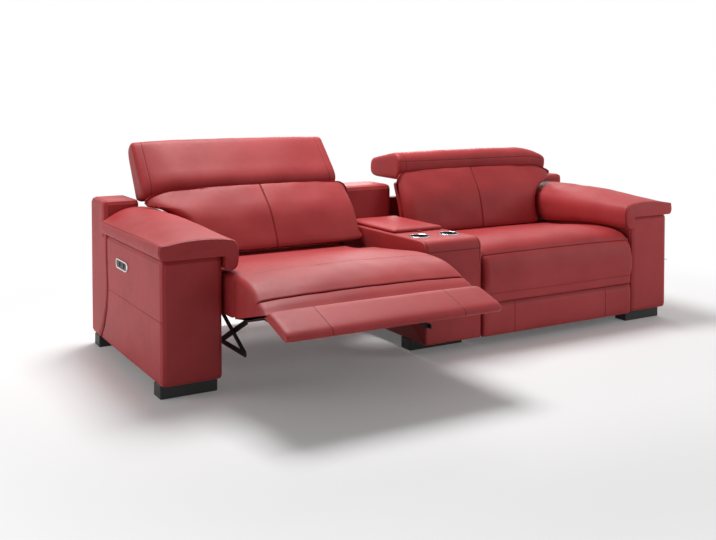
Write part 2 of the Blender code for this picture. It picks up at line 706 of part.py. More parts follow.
def make_tracks(side, word):
    x = side * SEAT_CENTRE
    words = end_words(side)
    low_z, high_z = TUBE_Z - TRACK_HEIGHT / 2, TUBE_Z + TRACK_HEIGHT / 2
    slot_front = BACK_HINGE_Y - CARRIAGE_TRAVEL - TUBE_RADIUS - 2 * RUN_GAP
    slot_rear = BACK_HINGE_Y + TUBE_RADIUS + 2 * RUN_GAP
    for sign in (-1, 1):
        near, far = sorted((x + sign * TRACK_INNER, x + sign * (OPENING_HALF - TOUCH_GAP)))
        box = block((near, slot_front - TRACK_END, low_z), (far, slot_rear + TRACK_END, high_z))
        track = add_piece(word + "_" + words[sign] + "_track", box, "black_steel")
        span = sorted((x + sign * (TRACK_INNER - OVERRUN), x + sign * (TRACK_INNER + TRACK_SLOT_DEPTH)))
        slot = block(
            (span[0], slot_front, TUBE_Z - TUBE_RADIUS - RUN_GAP),
            (span[1], slot_rear, TUBE_Z + TUBE_RADIUS + RUN_GAP),
        )
        cut(track, slot, word + "_" + words[sign] + "_track_slot")


def make_carriage(side, word, carrier):
    """The cross tube that runs in the tracks, the side plates on it, and the drive below it."""
    x = side * SEAT_CENTRE
    words = end_words(side)
    centre = (BACK_HINGE_Y, TUBE_Z)
    tube = rod(centre, TUBE_RADIUS, x - TUBE_HALF, x + TUBE_HALF, ROUND_SEGMENTS)
    add_piece(word + "_carriage_tube", tube, "black_steel", carrier, radians(40))

    half = SIDE_PLATE_WIDTH / 2
    rest = FRAME_BOTTOM - TOUCH_GAP
    arc = [
        (BACK_HINGE_Y + half * cos(pi * i / 6), BACK_HINGE_Z + half * sin(pi * i / 6)) for i in range(7)
    ]
    outline = [(BACK_HINGE_Y + half, TUBE_Z - half)] + arc
    outline += [(BACK_HINGE_Y - half, rest), (SIDE_PLATE_ARM_FRONT, rest)]
    outline += [(SIDE_PLATE_ARM_FRONT, rest - SIDE_PLATE_ARM_DEPTH)]
    outline += [(BACK_HINGE_Y - half, rest - SIDE_PLATE_ARM_DEPTH), (BACK_HINGE_Y - half, TUBE_Z - half)]
    for sign in (-1, 1):
        near, far = sorted((x + sign * SIDE_PLATE_INNER, x + sign * SIDE_PLATE_OUTER))
        name = word + "_" + words[sign] + "_side_plate"
        plate = add_piece(name, prism(outline, "x", near, far), "black_steel", carrier)
        bore = rod(centre, TUBE_RADIUS + TOUCH_GAP, near - OVERRUN, far + OVERRUN, ROUND_SEGMENTS)
        cut(plate, bore, name + "_bore")
        pin = sorted((x + sign * (SIDE_PLATE_OUTER - RUN_GAP), x + sign * (LEG_OUTER + RUN_GAP)))
        join(plate, rod((BACK_HINGE_Y, BACK_HINGE_Z), PIVOT_PIN_RADIUS, *pin, ROUND_SEGMENTS), name + "_pin")

    top = TUBE_Z - TUBE_RADIUS - TOUCH_GAP
    housing = block(
        (x - MOTOR_WIDTH / 2, BACK_HINGE_Y - MOTOR_LENGTH / 2, top - MOTOR_HEIGHT),
        (x + MOTOR_WIDTH / 2, BACK_HINGE_Y + MOTOR_LENGTH / 2, top),
    )
    drive = add_piece(word + "_drive", housing, "black_plastic", carrier)
    screw = rod(
        (x, top - MOTOR_HEIGHT / 2), SCREW_TUBE_RADIUS, SCREW_TUBE_FRONT,
        BACK_HINGE_Y - MOTOR_LENGTH / 2 + OVERRUN, SMALL_ROUND_SEGMENTS, "y"
    )
    join(drive, screw, word + "_screw_tube")


def make_seat_frame(side, word, carrier):
    """A slatted timber frame with an ear and pin at each side for the legrest."""
    x = side * SEAT_CENTRE
    words = end_words(side)
    box = block((x - FRAME_HALF, FRAME_FRONT, FRAME_BOTTOM), (x + FRAME_HALF, FRAME_REAR, FRAME_TOP))
    frame = add_piece(word + "_seat_frame", box, "timber", carrier)
    gap = (2 * FRAME_HALF - (FRAME_WINDOWS + 1) * FRAME_RAIL) / FRAME_WINDOWS
    for i in range(FRAME_WINDOWS):
        low = x - FRAME_HALF + FRAME_RAIL + i * (gap + FRAME_RAIL)
        window = block(
            (low, FRAME_FRONT + FRAME_RAIL, FRAME_BOTTOM - OVERRUN),
            (low + gap, FRAME_REAR - FRAME_RAIL, FRAME_TOP + OVERRUN),
        )
        cut(frame, window, "%s_seat_frame_window_%d" % (word, i))
    boss = HINGE_BOSS_RADIUS
    stem = FRAME_FRONT + EAR_SETBACK
    arc = [
        (LEGREST_HINGE_Y + boss * cos(pi / 2 + pi * i / 6), LEGREST_HINGE_Z + boss * sin(pi / 2 + pi * i / 6))
        for i in range(7)
    ]
    outline = arc + [(stem, LEGREST_HINGE_Z - boss), (stem, FRAME_TOP - EAR_SETBACK)]
    outline += [(stem + EAR_WIDTH, FRAME_TOP - EAR_SETBACK), (stem + EAR_WIDTH, LEGREST_HINGE_Z - boss)]
    outline += [(stem + EAR_WIDTH - boss, LEGREST_HINGE_Z + boss)]
    for sign in (-1, 1):
        near, far = sorted((x + sign * EAR_INNER, x + sign * EAR_OUTER))
        join(frame, prism(outline, "x", near, far), "%s_%s_ear" % (word, words[sign]))
        pin = sorted((x + sign * (LINK_INNER - RUN_GAP), x + sign * (EAR_INNER + RUN_GAP)))
        place = (LEGREST_HINGE_Y, LEGREST_HINGE_Z)
        join(frame, rod(place, HINGE_PIN_RADIUS, *pin, ROUND_SEGMENTS), "%s_%s_ear_pin" % (word, words[sign]))


# The seat's section: its nose as shares of the run to the back line and of the rise from the nose's foot to
# the crown, then its top as shares of the run and of the rise from the back line to the crown
SEAT_NOSE_SHARES = ((0.0, 0.15), (0.012, 0.55), (0.055, 0.88), (0.14, 1.0))
SEAT_TOP_SHARES = ((0.36, 0.95), (0.62, 0.62), (0.85, 0.25), (1.0, 0.0))
SEAT_LIP_SHARE = 0.02
# The crown's drop at the middle, where the tail ends, at the frame's side and at the cushion's own side
SEAT_MIDDLE_SHARES = ((0.0, 0.0), (0.5, 0.12), (0.78, 0.45))
SEAT_TAIL_DROP_SHARE = 0.66
SEAT_FRAME_DROP_SHARE = 0.85
SEAT_END_DROP_SHARE = 1.1
SEAT_END_ROUND_SHARES = (0.3, 0.6)  # of the end's rounding: along X, and back from the nose


def seat_ring(drop_share, rear, tail_z, bottom):
    """The seat cushion's section as (y, z) points: over the top from the nose to the rear, then under."""
    crown = SEAT_CROWN - SEAT_CROWN_DROP * drop_share
    nose, low = SEAT_NOSE_FRONT, SEAT_NOSE_BOTTOM
    line_z = SEAT_BACK_LINE_Z
    run = SEAT_BACK_LINE_Y - nose
    top = [(nose + run * along, low + (crown - low) * up) for along, up in SEAT_NOSE_SHARES]
    top += [(nose + run * along, line_z + (crown - line_z) * up) for along, up in SEAT_TOP_SHARES]
    tail = [(rear, tail_z), (rear, SEAT_TAIL_BOTTOM)]
    under = [
        (FRAME_REAR - TOUCH_GAP, SEAT_TAIL_BOTTOM),
        (FRAME_REAR - 2 * TOUCH_GAP, bottom),
        (SEAT_RECESS_REAR, bottom),
        (SEAT_RECESS_REAR - TOUCH_GAP, low),
        (nose + run * SEAT_LIP_SHARE, low),
    ]
    return top + tail + under


def make_seat_cushion(side, word, carrier):
    """The rings run from the middle out; past the back's legs the cushion ends at the back line."""
    x = side * SEAT_CENTRE
    bottom = FRAME_TOP + TOUCH_GAP
    side_bottom = FRAME_BOTTOM + TOUCH_GAP
    tail_half = SIDE_PLATE_INNER - SEAT_TAIL_CLEARANCE
    long = (SEAT_TAIL_REAR, SEAT_TAIL_Z)
    short = (FRAME_REAR, SEAT_BACK_LINE_Z)
    round_x, round_y = (SEAT_END_ROUND * share for share in SEAT_END_ROUND_SHARES)
    half_rings = [(SEAT_HALF * out, seat_ring(drop, *long, bottom)) for out, drop in SEAT_MIDDLE_SHARES]
    half_rings += [
        (tail_half - RUN_GAP, seat_ring(SEAT_TAIL_DROP_SHARE, *long, bottom)),
        (tail_half, seat_ring(SEAT_TAIL_DROP_SHARE, *short, bottom)),
        (FRAME_HALF + RUN_GAP, seat_ring(SEAT_FRAME_DROP_SHARE, *short, bottom)),
        (FRAME_HALF + 2 * RUN_GAP, seat_ring(SEAT_FRAME_DROP_SHARE, *short, side_bottom)),
        (SEAT_HALF - round_x, seat_ring(1.0, *short, side_bottom)),
    ]
    last = seat_ring(SEAT_END_DROP_SHARE, FRAME_REAR - SEAT_END_ROUND, SEAT_BACK_LINE_Z, side_bottom)
    half_rings.append((SEAT_HALF, [(max(y, SEAT_NOSE_FRONT + round_y), z) for y, z in last]))
    stations = [(x - dx, ring) for dx, ring in half_rings[:0:-1]] + [(x + dx, ring) for dx, ring in half_rings]
    add_piece(word + "_seat_cushion", loft(stations), "red_leather", carrier, radians(40))


# The leg panel's section: forward as a share of its bulge, and down as a share from its top to its sewn
# line; the flap below it: forward as a share of its own front, and down as a share of its height
PANEL_SHARES = ((0.40, 0.06), (0.85, 0.22), (1.0, 0.458), (0.80, 0.837), (0.48, 1.0), (0.55, 1.164))
FLAP_SHARES = ((0.5, 0.0), (1.15, 0.35), (1.0, 0.88))
FLAP_HEM_SHARE = 0.97
LEGREST_EDGE_SHARES = (0.5, 0.1)  # of the depth to the board: the top edge and the flap's hem
PANEL_BACK_SHARE = 0.04
LEGREST_END_DROP_SHARE = 0.08
LEGREST_STATION_SHARES = (
    (-1.0, 0.60), (-0.985, 0.25), (-0.93, 0.05), (-0.6, 0.0), (0.0, 0.0),
    (0.6, 0.0), (0.93, 0.05), (0.985, 0.25), (1.0, 0.60),
)
LINK_STEP_SHARES = (0.30, 0.45, 0.60, 0.75, 0.88)


def legrest_ring():
    """The leg panel's and the flap's section as (y, z) points, down the front and up the back."""
    back, top, low = LEGREST_BACK, LEGREST_TOP, LEGREST_BOTTOM
    panel, flap = top - LEGREST_SEAM_Z, FLAP_SEAM_Z - low
    top_edge, hem = (back * share for share in LEGREST_EDGE_SHARES)
    front = [(-LEGREST_BULGE * out, top - panel * down) for out, down in PANEL_SHARES]
    front += [(-FLAP_FRONT * out, FLAP_SEAM_Z - flap * down) for out, down in FLAP_SHARES]
    rear = [(hem, low), (back, FLAP_SEAM_Z - flap * FLAP_HEM_SHARE)]
    rear += [(back, FLAP_SEAM_Z), (back, top - panel * PANEL_BACK_SHARE)]
    return [(top_edge, top)] + front + rear


def make_legrest(side, word, carrier):
    """The upholstered leg panel with its lower flap, the board behind them and the two curved links."""
    x = side * SEAT_CENTRE
    words = end_words(side)
    back, top, low = LEGREST_BACK, LEGREST_TOP, LEGREST_BOTTOM
    face = back - TOUCH_GAP
    pad_stations = []
    for share, drawn in LEGREST_STATION_SHARES:
        rise = 1 - drawn * LEGREST_END_DROP_SHARE
        drawn_ring = [(face - (back - y) * (1 - drawn), low + (z - low) * rise) for y, z in legrest_ring()]
        pad_stations.append((x + share * SEAT_HALF, drawn_ring))
    add_piece(word + "_legrest_cushion", loft(pad_stations), "red_leather", carrier, radians(40))

    board_top = top - BOARD_TOP_STEP
    half = SEAT_HALF - BOARD_INSET
    board = block((x - half, back, low + BOARD_EDGE_STEP), (x + half, back + BOARD_THICKNESS, board_top))
    add_piece(word + "_legrest_board", board, "timber", carrier)

    boss = HINGE_BOSS_RADIUS
    root_y = back + BOARD_THICKNESS + TOUCH_GAP
    hinge = (LEGREST_HINGE_Y, LEGREST_HINGE_Z)
    arc = [(hinge[0] + boss * cos(pi * i / 6), hinge[1] + boss * sin(pi * i / 6)) for i in range(7)]
    outer = [
        (root_y + (LINK_BULGE_Y - root_y) * sin(pi * share), hinge[1] + (LINK_FOOT_Z - hinge[1]) * share)
        for share in LINK_STEP_SHARES
    ]
    outline = arc + [(hinge[0] - boss, LEGREST_TOP + TOUCH_GAP), (root_y, LEGREST_TOP + TOUCH_GAP)]
    outline += [(root_y, LINK_FOOT_Z)] + outer[::-1]
    for sign in (-1, 1):
        near, far = sorted((x + sign * LINK_INNER, x + sign * LINK_OUTER))
        name = "%s_%s_legrest_link" % (word, words[sign])
        link = add_piece(name, prism(outline, "x", near, far), "black_steel", carrier)
        bore = rod(hinge, HINGE_PIN_RADIUS + TOUCH_GAP, near - OVERRUN, far + OVERRUN, ROUND_SEGMENTS)
        cut(link, bore, name + "_bore")


def lean_point(along, forward):
    """A point in (y, z) on the back board's lean, from the hinge up, and square out to the front."""
    y = BACK_HINGE_Y + BACK_LEAN_RUN_SHARE * along - BACK_LEAN_RISE_SHARE * forward
    z = BACK_HINGE_Z + BACK_LEAN_RISE_SHARE * along + BACK_LEAN_RUN_SHARE * forward
    return y, z


def make_back(side, word, carrier):
    """The back board with its legs and headrest ears, and the cushion in front of it."""
    x = side * SEAT_CENTRE
    words = end_words(side)
    half = BACK_BOARD_THICKNESS / 2
    board = [
        lean_point(BACK_BOARD_LOW, half),
        lean_point(BACK_BOARD_HIGH, half),
        lean_point(BACK_BOARD_HIGH, -half),
        lean_point(BACK_BOARD_LOW, -half),
    ]
    panel = prism(board, "x", x - LEG_INNER - RUN_GAP, x + LEG_INNER + RUN_GAP)
    piece = add_piece(word + "_back_frame", panel, "timber", carrier)
    boss = PIVOT_BOSS_RADIUS
    foot = [
        lean_point(-boss * sin(pi * i / 6), boss * cos(pi * i / 6)) for i in range(7)
    ]
    leg = foot + [lean_point(BACK_BOARD_HIGH - boss, -boss), lean_point(BACK_BOARD_HIGH, -half)]
    leg += [lean_point(BACK_BOARD_HIGH, half), lean_point(BACK_BOARD_LOW, half)]
    pin_place = (BACK_HINGE_Y, BACK_HINGE_Z)
    for sign in (-1, 1):
        near, far = sorted((x + sign * LEG_INNER, x + sign * LEG_OUTER))
        join(piece, prism(leg, "x", near, far), "%s_%s_leg" % (word, words[sign]))
        bore = rod(pin_place, PIVOT_PIN_RADIUS + TOUCH_GAP, near - OVERRUN, far + OVERRUN, ROUND_SEGMENTS)
        cut(piece, bore, "%s_%s_leg_bore" % (word, words[sign]))
    rod_place = (HEADREST_HINGE_Y, HEADREST_HINGE_Z)
    curve = HEADREST_EAR_RADIUS
    low = BACK_BOARD_HIGH - curve
    ear_arc = [
        (rod_place[0] + curve * cos(pi * i / 6), rod_place[1] + curve * sin(pi * i / 6)) for i in range(7)
    ]
    ear = ear_arc + [lean_point(BACK_BOARD_HIGH, half), lean_point(low, 0.0), lean_point(low, -half)]
    for sign in (-1, 1):
        near, far = headrest_ear_span(x, sign)
        join(piece, prism(ear, "x", near, far), "%s_%s_headrest_ear" % (word, words[sign]))
        bore = rod(rod_place, HEADREST_ROD_RADIUS + TOUCH_GAP, near - OVERRUN, far + OVERRUN, ROUND_SEGMENTS)
        cut(piece, bore, "%s_%s_headrest_ear_bore" % (word, words[sign]))
    make_back_cushion(side, word, carrier)


def headrest_ear_span(x, sign):
    far = HEADREST_ROD_LENGTH / 2 - HEADREST_EAR_INSET
    near = far - HEADREST_EAR_THICKNESS
    return sorted((x + sign * near, x + sign * far))


BACK_FRONT_SHARES = (
    (0.0, 0.0), (0.06, 0.17), (0.133, 0.349), (0.286, 0.556), (0.45, 0.675), (0.56, 0.735), (0.648, 0.778),
    (0.83, 0.90), (1.0, 1.0),
)
BACK_SWEEP_SHARES = ((32, 0.80), (46, 0.87), (62, 0.95), (75, 1.0))  # degrees below level, and the radius
BACK_REAR_SHARES = (0.965, 0.65)  # of the board's height
BACK_STATION_SHARES = (
    (-1.0, 0.75), (-0.985, 0.35), (-0.93, 0.10), (-0.6, 0.0), (0.0, 0.0),
    (0.6, 0.0), (0.93, 0.10), (0.985, 0.35), (1.0, 0.75),
)
BACK_END_PULL_SHARES = (0.25, 0.45)  # along X of the end's rounding, and back towards the board


def back_cushion_ring(pull_share):
    """The back cushion's section as (y, z) points, up the front, round the headrest's sweep and down.

    The front is pulled back towards the board by a share of its depth, less and less up to the top.
    """
    foot_y, foot_z = BACK_CUSHION_FOOT_Y, BACK_CUSHION_FOOT_Z
    top_y, top_z = BACK_CUSHION_TOP_Y, BACK_CUSHION_TOP_Z
    front = []
    for run, rise in BACK_FRONT_SHARES:
        y, z = foot_y + (top_y - foot_y) * run, foot_z + (top_z - foot_z) * rise
        front.append((y + (rear_face_y(z) - y) * pull_share * (1 - rise**2), z))
    sweep = []
    for degrees, share in BACK_SWEEP_SHARES:
        reach, turn = HEADREST_SWEEP * share, radians(degrees)
        sweep.append((HEADREST_HINGE_Y - reach * cos(turn), HEADREST_HINGE_Z - reach * sin(turn)))
    face = BACK_BOARD_THICKNESS / 2 + TOUCH_GAP
    rear = [lean_point(BACK_BOARD_HIGH * share, face) for share in BACK_REAR_SHARES]
    return front + sweep + rear + [lean_point(BACK_BOARD_LOW, face)]


def cushion_waist(y):
    """Height above which the cushion spreads: a line that lies level over the arm pad in the open seat."""
    return BACK_CUSHION_WAIST_Z + (y - BACK_HINGE_Y) * tan(RECLINE)


def make_back_cushion(side, word, carrier):
    """Inner is the console's side; above its waist the cushion's outer end spreads over the arm pad."""
    inner = CONSOLE_BACK_WIDTH / 2 + BACK_CUSHION_INNER_CLEARANCE
    outer_low = ARM_INNER - ARM_PAD_WRAP - BACK_CUSHION_ARM_CLEARANCE
    outer_high = ARM_INNER + BACK_CUSHION_SPREAD
    middle = (inner + outer_low) / 2
    pull_x, pull_y = BACK_END_PULL_SHARES
    bm = bmesh.new()
    rings = []
    for share, drawn in BACK_STATION_SHARES:
        points = []
        for y, z in back_cushion_ring(drawn * pull_y):
            spread = min(1.0, max(0.0, (z - cushion_waist(y)) / BACK_CUSHION_WAIST_STEP))
            end = inner if share < 0 else outer_low + (outer_high - outer_low) * spread
            reach = end - BACK_CUSHION_END_ROUND * pull_x * drawn
            place = middle + (reach - middle) * abs(share)
            points.append((side * place, y, z))
        rings.append([bm.verts.new(point) for point in points])
    middle_z = cushion_waist(BACK_CUSHION_TOP_Y)
    ends = [(side * end, BACK_CUSHION_TOP_Y, middle_z) for end in (inner, outer_low)]
    join_rings(bm, rings, ends)
    add_piece(word + "_back_cushion", bm, "red_leather", carrier, radians(40))


def rear_face_y(z):
    """Y of the board's front face at a height."""
    face = BACK_BOARD_THICKNESS / 2 + TOUCH_GAP
    foot_y, foot_z = lean_point(0.0, face)
    return foot_y + (z - foot_z) * BACK_LEAN_RUN_SHARE / BACK_LEAN_RISE_SHARE


# The headrest's section, folded: depth from the front, with the height as a share of the front's height, of
# the fall from the top to the rear's top, or of the fall from there to the rear tip
HEADREST_FACE_SHARES = ((0.12, 0.0), (0.04, 0.15), (0.0, 0.38), (-0.01, 0.68), (0.02, 0.88), (0.09, 1.0))
HEADREST_TOP_SHARES = ((0.30, 0.22), (0.60, 0.60))
HEADREST_NOSE_SHARES = ((0.90, 0.10), (0.97, 0.42), (1.0, 1.0))
HEADREST_UNDER_SHARES = ((0.98, 0.18), (0.91, 0.05), (0.60, 0.0))
HEADREST_STATION_SHARES = (
    (-1.0, 1.0), (-0.985, 0.50), (-0.94, 0.12), (-0.8, 0.0), (0.0, 0.0),
    (0.8, 0.0), (0.94, 0.12), (0.985, 0.50), (1.0, 1.0),
)


def headrest_ring():
    """The headrest's section as (y, z) points: up the front, over the top, round the rear and under."""
    front, top, rear_top, low = HEADREST_FRONT, HEADREST_TOP, HEADREST_REAR_TOP, HEADREST_BOTTOM
    depth = HEADREST_REAR - front
    height = top - low
    fall, nose = top - rear_top, rear_top - HEADREST_REAR_TIP_Z
    face = [(front + depth * along, low + height * up) for along, up in HEADREST_FACE_SHARES]
    over = [(front + depth * along, top - fall * down) for along, down in HEADREST_TOP_SHARES]
    rear = [(front + depth * along, rear_top - nose * down) for along, down in HEADREST_NOSE_SHARES]
    under = [(front + depth * along, low + height * up) for along, up in HEADREST_UNDER_SHARES]
    return face + over + rear + under


def make_headrest(side, word, carrier):
    """The pad that folds over the back's top edge, on a rod through the back frame's ears."""
    x = side * SEAT_CENTRE
    ring = headrest_ring()
    inner = CONSOLE_BACK_WIDTH / 2 + HEADREST_INNER_CLEARANCE
    outer = ARM_INNER + HEADREST_OUTER_REACH
    middle = (inner + outer) / 2
    half = (outer - inner) / 2
    stations = []
    for share, drawn in HEADREST_STATION_SHARES:
        points = shrunk(ring, HEADREST_END_ROUND * drawn) if drawn else ring
        stations.append((side * (middle + share * half), points))
    pad = add_piece(word + "_headrest_pad", loft(stations), "red_leather", carrier, radians(40))
    place = (HEADREST_HINGE_Y, HEADREST_HINGE_Z)
    reach = HEADREST_ROD_LENGTH / 2
    tunnel = rod(place, HEADREST_ROD_RADIUS + TOUCH_GAP, x - reach - TOUCH_GAP, x + reach + TOUCH_GAP)
    cut(pad, tunnel, word + "_headrest_tunnel")
    clear = HEADREST_EAR_RADIUS + HEADREST_SLOT_MARGIN
    words = end_words(side)
    for sign in (-1, 1):
        near, far = headrest_ear_span(x, sign)
        slot = block(
            (near - HEADREST_SLOT_MARGIN, HEADREST_FRONT - OVERRUN, HEADREST_BOTTOM - OVERRUN),
            (far + HEADREST_SLOT_MARGIN, HEADREST_HINGE_Y + clear, HEADREST_HINGE_Z + clear),
        )
        cut(pad, slot, "%s_%s_headrest_slot" % (word, words[sign]))
    bar = rod(place, HEADREST_ROD_RADIUS, x - reach, x + reach)
    add_piece(word + "_headrest_rod", bar, "black_steel", carrier, radians(40))


# Share of each joint's travel at which the seat stands: opened, and headrest raised
POSE_SHARES = {"left": (1.0, 1.0), "right": (0.0, 0.0)}


def pose_seat(word, empties):
    opened, raised = POSE_SHARES[word]
    carriage, seat, legrest, back, headrest = empties
    carriage.location.y -= CARRIAGE_TRAVEL * opened
    seat.location.y -= SEAT_TRAVEL * opened
    legrest.rotation_euler.x = -LEGREST_SWING * opened
    back.rotation_euler.x = -RECLINE * opened
    headrest.rotation_euler.x = HEADREST_LIFT * raised


def make_seat(side, word):
    empties = seat_empties(side, word)
    carriage, seat, legrest, back, headrest = empties
    make_tracks(side, word)
    make_carriage(side, word, carriage)
    make_seat_frame(side, word, seat)
    make_seat_cushion(side, word, seat)
    make_legrest(side, word, legrest)
    make_back(side, word, back)
    make_headrest(side, word, headrest)
    pose_seat(word, empties)


for SIDE, WORD in ((-1, "left"), (1, "right")):
    make_arm(SIDE, WORD)
    make_back_cover(SIDE, WORD)
    make_switch(SIDE, WORD)
    make_seat(SIDE, WORD)
make_console()
make_lid()
make_feet()
SOFA.location.y = -ORIGIN_Y
bpy.context.view_layer.update()
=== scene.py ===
# %% [markdown]
# # A home theatre sofa in red leather
# Two power recliners stand either side of a console. The left seat is open, with its headrest raised,
# and the right seat is closed. The frame that is loaded here holds every piece at its real size and
# place, so each leather surface below is drawn round the piece that it covers.

# %% Load the frame
import json
from math import cos, pi, radians, sin

import bpy
import numpy as np
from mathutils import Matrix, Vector


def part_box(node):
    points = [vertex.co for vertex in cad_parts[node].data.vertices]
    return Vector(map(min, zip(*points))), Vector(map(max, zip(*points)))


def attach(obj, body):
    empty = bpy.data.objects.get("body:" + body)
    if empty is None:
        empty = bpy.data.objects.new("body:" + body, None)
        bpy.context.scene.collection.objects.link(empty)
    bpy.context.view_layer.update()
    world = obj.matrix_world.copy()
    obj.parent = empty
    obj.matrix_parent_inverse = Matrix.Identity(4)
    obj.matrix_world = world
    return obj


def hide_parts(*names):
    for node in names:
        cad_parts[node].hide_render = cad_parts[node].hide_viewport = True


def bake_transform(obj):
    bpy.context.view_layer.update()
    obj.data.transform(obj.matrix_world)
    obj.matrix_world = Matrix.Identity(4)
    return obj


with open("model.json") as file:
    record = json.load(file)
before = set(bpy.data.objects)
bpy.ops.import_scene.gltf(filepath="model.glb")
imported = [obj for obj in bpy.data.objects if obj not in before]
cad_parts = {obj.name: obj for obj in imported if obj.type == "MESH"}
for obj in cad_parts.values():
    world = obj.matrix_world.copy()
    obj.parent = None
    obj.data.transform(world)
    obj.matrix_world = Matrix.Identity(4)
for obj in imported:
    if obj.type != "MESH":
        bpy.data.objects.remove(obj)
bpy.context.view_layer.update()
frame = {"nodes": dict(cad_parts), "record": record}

# %% [markdown]
# ## Places taken from the frame
# The profiles below are written with Y measured from the front of the arms, as an upholsterer
# would measure them. One shift takes them to the frame's own origin.

# %% Read the driving places
ARM_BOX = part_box("right_arm_cover")
FRONT_Y = ARM_BOX[0][1]
ARM_INNER = ARM_BOX[0][0]
ARM_OUTER = ARM_BOX[1][0]
ARM_TOP = ARM_BOX[1][2]
COVER_FOOT = ARM_BOX[0][2]
CONSOLE_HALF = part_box("console_shell")[1][0]
CONSOLE_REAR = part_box("console_shell")[1][1] - FRONT_Y
CONSOLE_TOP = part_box("console_deck")[1][2]
SEAT_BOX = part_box("right_seat_cushion")
SEAT_MIDDLE = (SEAT_BOX[0][0] + SEAT_BOX[1][0]) / 2
SEAT_HALF = (SEAT_BOX[1][0] - SEAT_BOX[0][0]) / 2
JOINTS = {joint["name"]: joint for joint in frame["record"]["behaviour"]["joints"]}
SIDES = (("left", -1), ("right", 1))
print("seat middle %.3f, half width %.3f" % (SEAT_MIDDLE, SEAT_HALF))

# %% [markdown]
# ## The camera
# The sofa is looked at from the front left, a little above the backs. Shifting the lens down keeps
# its upright edges upright, where tilting the whole camera would make them lean.

# %% Place the camera
CAMERA_PLACE = (-2.3136, FRONT_Y - 3.1751, 1.0975)
CAMERA_YAW = 0.5284  # radians from straight ahead towards +X
CAMERA_PITCH = 0.0351  # radians below level
FOCAL_PIXELS = 952.25
PHOTO_WIDTH = 716
PHOTO_HEIGHT = 540
OPTICAL_ROW = 122.0  # the picture row that the lens looks straight at
SENSOR_WIDTH = 36.0

camera_data = bpy.data.cameras.new("sofa_camera")
camera = bpy.data.objects.new("sofa_camera", camera_data)
bpy.context.collection.objects.link(camera)
camera.location = CAMERA_PLACE
camera.rotation_euler = (pi / 2 - CAMERA_PITCH, 0.0, -CAMERA_YAW)
camera_data.sensor_width = SENSOR_WIDTH
camera_data.lens = SENSOR_WIDTH * FOCAL_PIXELS / PHOTO_WIDTH
camera_data.shift_y = (OPTICAL_ROW - PHOTO_HEIGHT / 2) / PHOTO_WIDTH
bpy.context.scene.camera = camera
print("lens %.2f mm" % camera_data.lens)

# %% [markdown]
# ## Leather
# The hide is a deep red with a fine grain. Soft clouds of lighter and darker red keep a wide panel
# from looking painted, a small cell pattern gives the grain its height, and a mask that each mesh
# carries along its seams darkens the fold with a painted shade and takes its shine away.

# %% Helpers for node materials
NOISE_ROUGHNESS = 0.55


def new_material(name):
    """A material, its node tree, its Principled shader and a function that adds nodes."""
    material = bpy.data.materials.new(name)
    material.use_nodes = True
    tree = material.node_tree
    shader = tree.nodes["Principled BSDF"]

    def add(kind, **settings):
        node = tree.nodes.new(kind)
        for key, value in settings.items():
            setattr(node, key, value)
        return node

    return material, tree, shader, add


def scaled_noise(tree, add, coordinates, scale, detail, roughness=NOISE_ROUGHNESS):
    """A smooth noise between 0 and 1, with as many features to the metre as its scale says."""
    noise = add("ShaderNodeTexNoise")
    noise.inputs["Scale"].default_value = scale
    noise.inputs["Detail"].default_value = detail
    noise.inputs["Roughness"].default_value = roughness
    tree.links.new(coordinates, noise.inputs["Vector"])
    return noise.outputs["Fac"]


def colour_between(tree, add, factor, first, second, low, high):
    """A ramp from one colour to another as a factor goes from low to high."""
    ramp = add("ShaderNodeValToRGB")
    ramp.color_ramp.elements[0].position = low
    ramp.color_ramp.elements[1].position = high
    ramp.color_ramp.elements[0].color = (*first, 1.0)
    ramp.color_ramp.elements[1].color = (*second, 1.0)
    tree.links.new(factor, ramp.inputs["Fac"])
    return ramp.outputs["Color"]


def gloss_between(tree, add, factor, shader, low, high):
    """Roughness that goes from low to high as a factor goes from 0 to 1."""
    gloss = add("ShaderNodeMapRange")
    gloss.inputs["To Min"].default_value = low
    gloss.inputs["To Max"].default_value = high
    tree.links.new(factor, gloss.inputs["Value"])
    tree.links.new(gloss.outputs["Result"], shader.inputs["Roughness"])


def bumped(tree, add, height, shader, strength, distance):
    """Tilt the shader's normal by the slope of a height, where a height of 1 is the distance."""
    bump = add("ShaderNodeBump")
    bump.inputs["Strength"].default_value = strength
    bump.inputs["Distance"].default_value = distance
    tree.links.new(height, bump.inputs["Height"])
    tree.links.new(bump.outputs["Normal"], shader.inputs["Normal"])


# %% The red leather
LEATHER_DEEP = (0.335, 0.028, 0.031)
LEATHER_LIGHT = (0.410, 0.042, 0.045)
# The colour of the painted shade in a seam's fold.
LEATHER_FOLD_SHADE = (0.090, 0.004, 0.006)
LEATHER_ROUGHNESS = 0.50
# The shine falls with the seam mask, a painted shade over the reflections in each fold.
LEATHER_SHINE = 0.28  # falls to nothing in the fold of a seam
LEATHER_GLOSS = (LEATHER_ROUGHNESS - 0.05, LEATHER_ROUGHNESS + 0.09)
CLOUD_SCALE = 4.0
CLOUD_DETAIL = 4.0
CLOUD_RAMP = (0.35, 0.68)
GRAIN_SCALE = 420.0
GRAIN_HEIGHT_SHARE = 0.35  # of the grain's cells beside the wrinkles
GRAIN_STRENGTH = 0.20
GRAIN_DEPTH = 0.0012
WRINKLE_SCALE = 38.0
WRINKLE_DETAIL = 6.0
WRINKLE_ROUGHNESS = 0.62


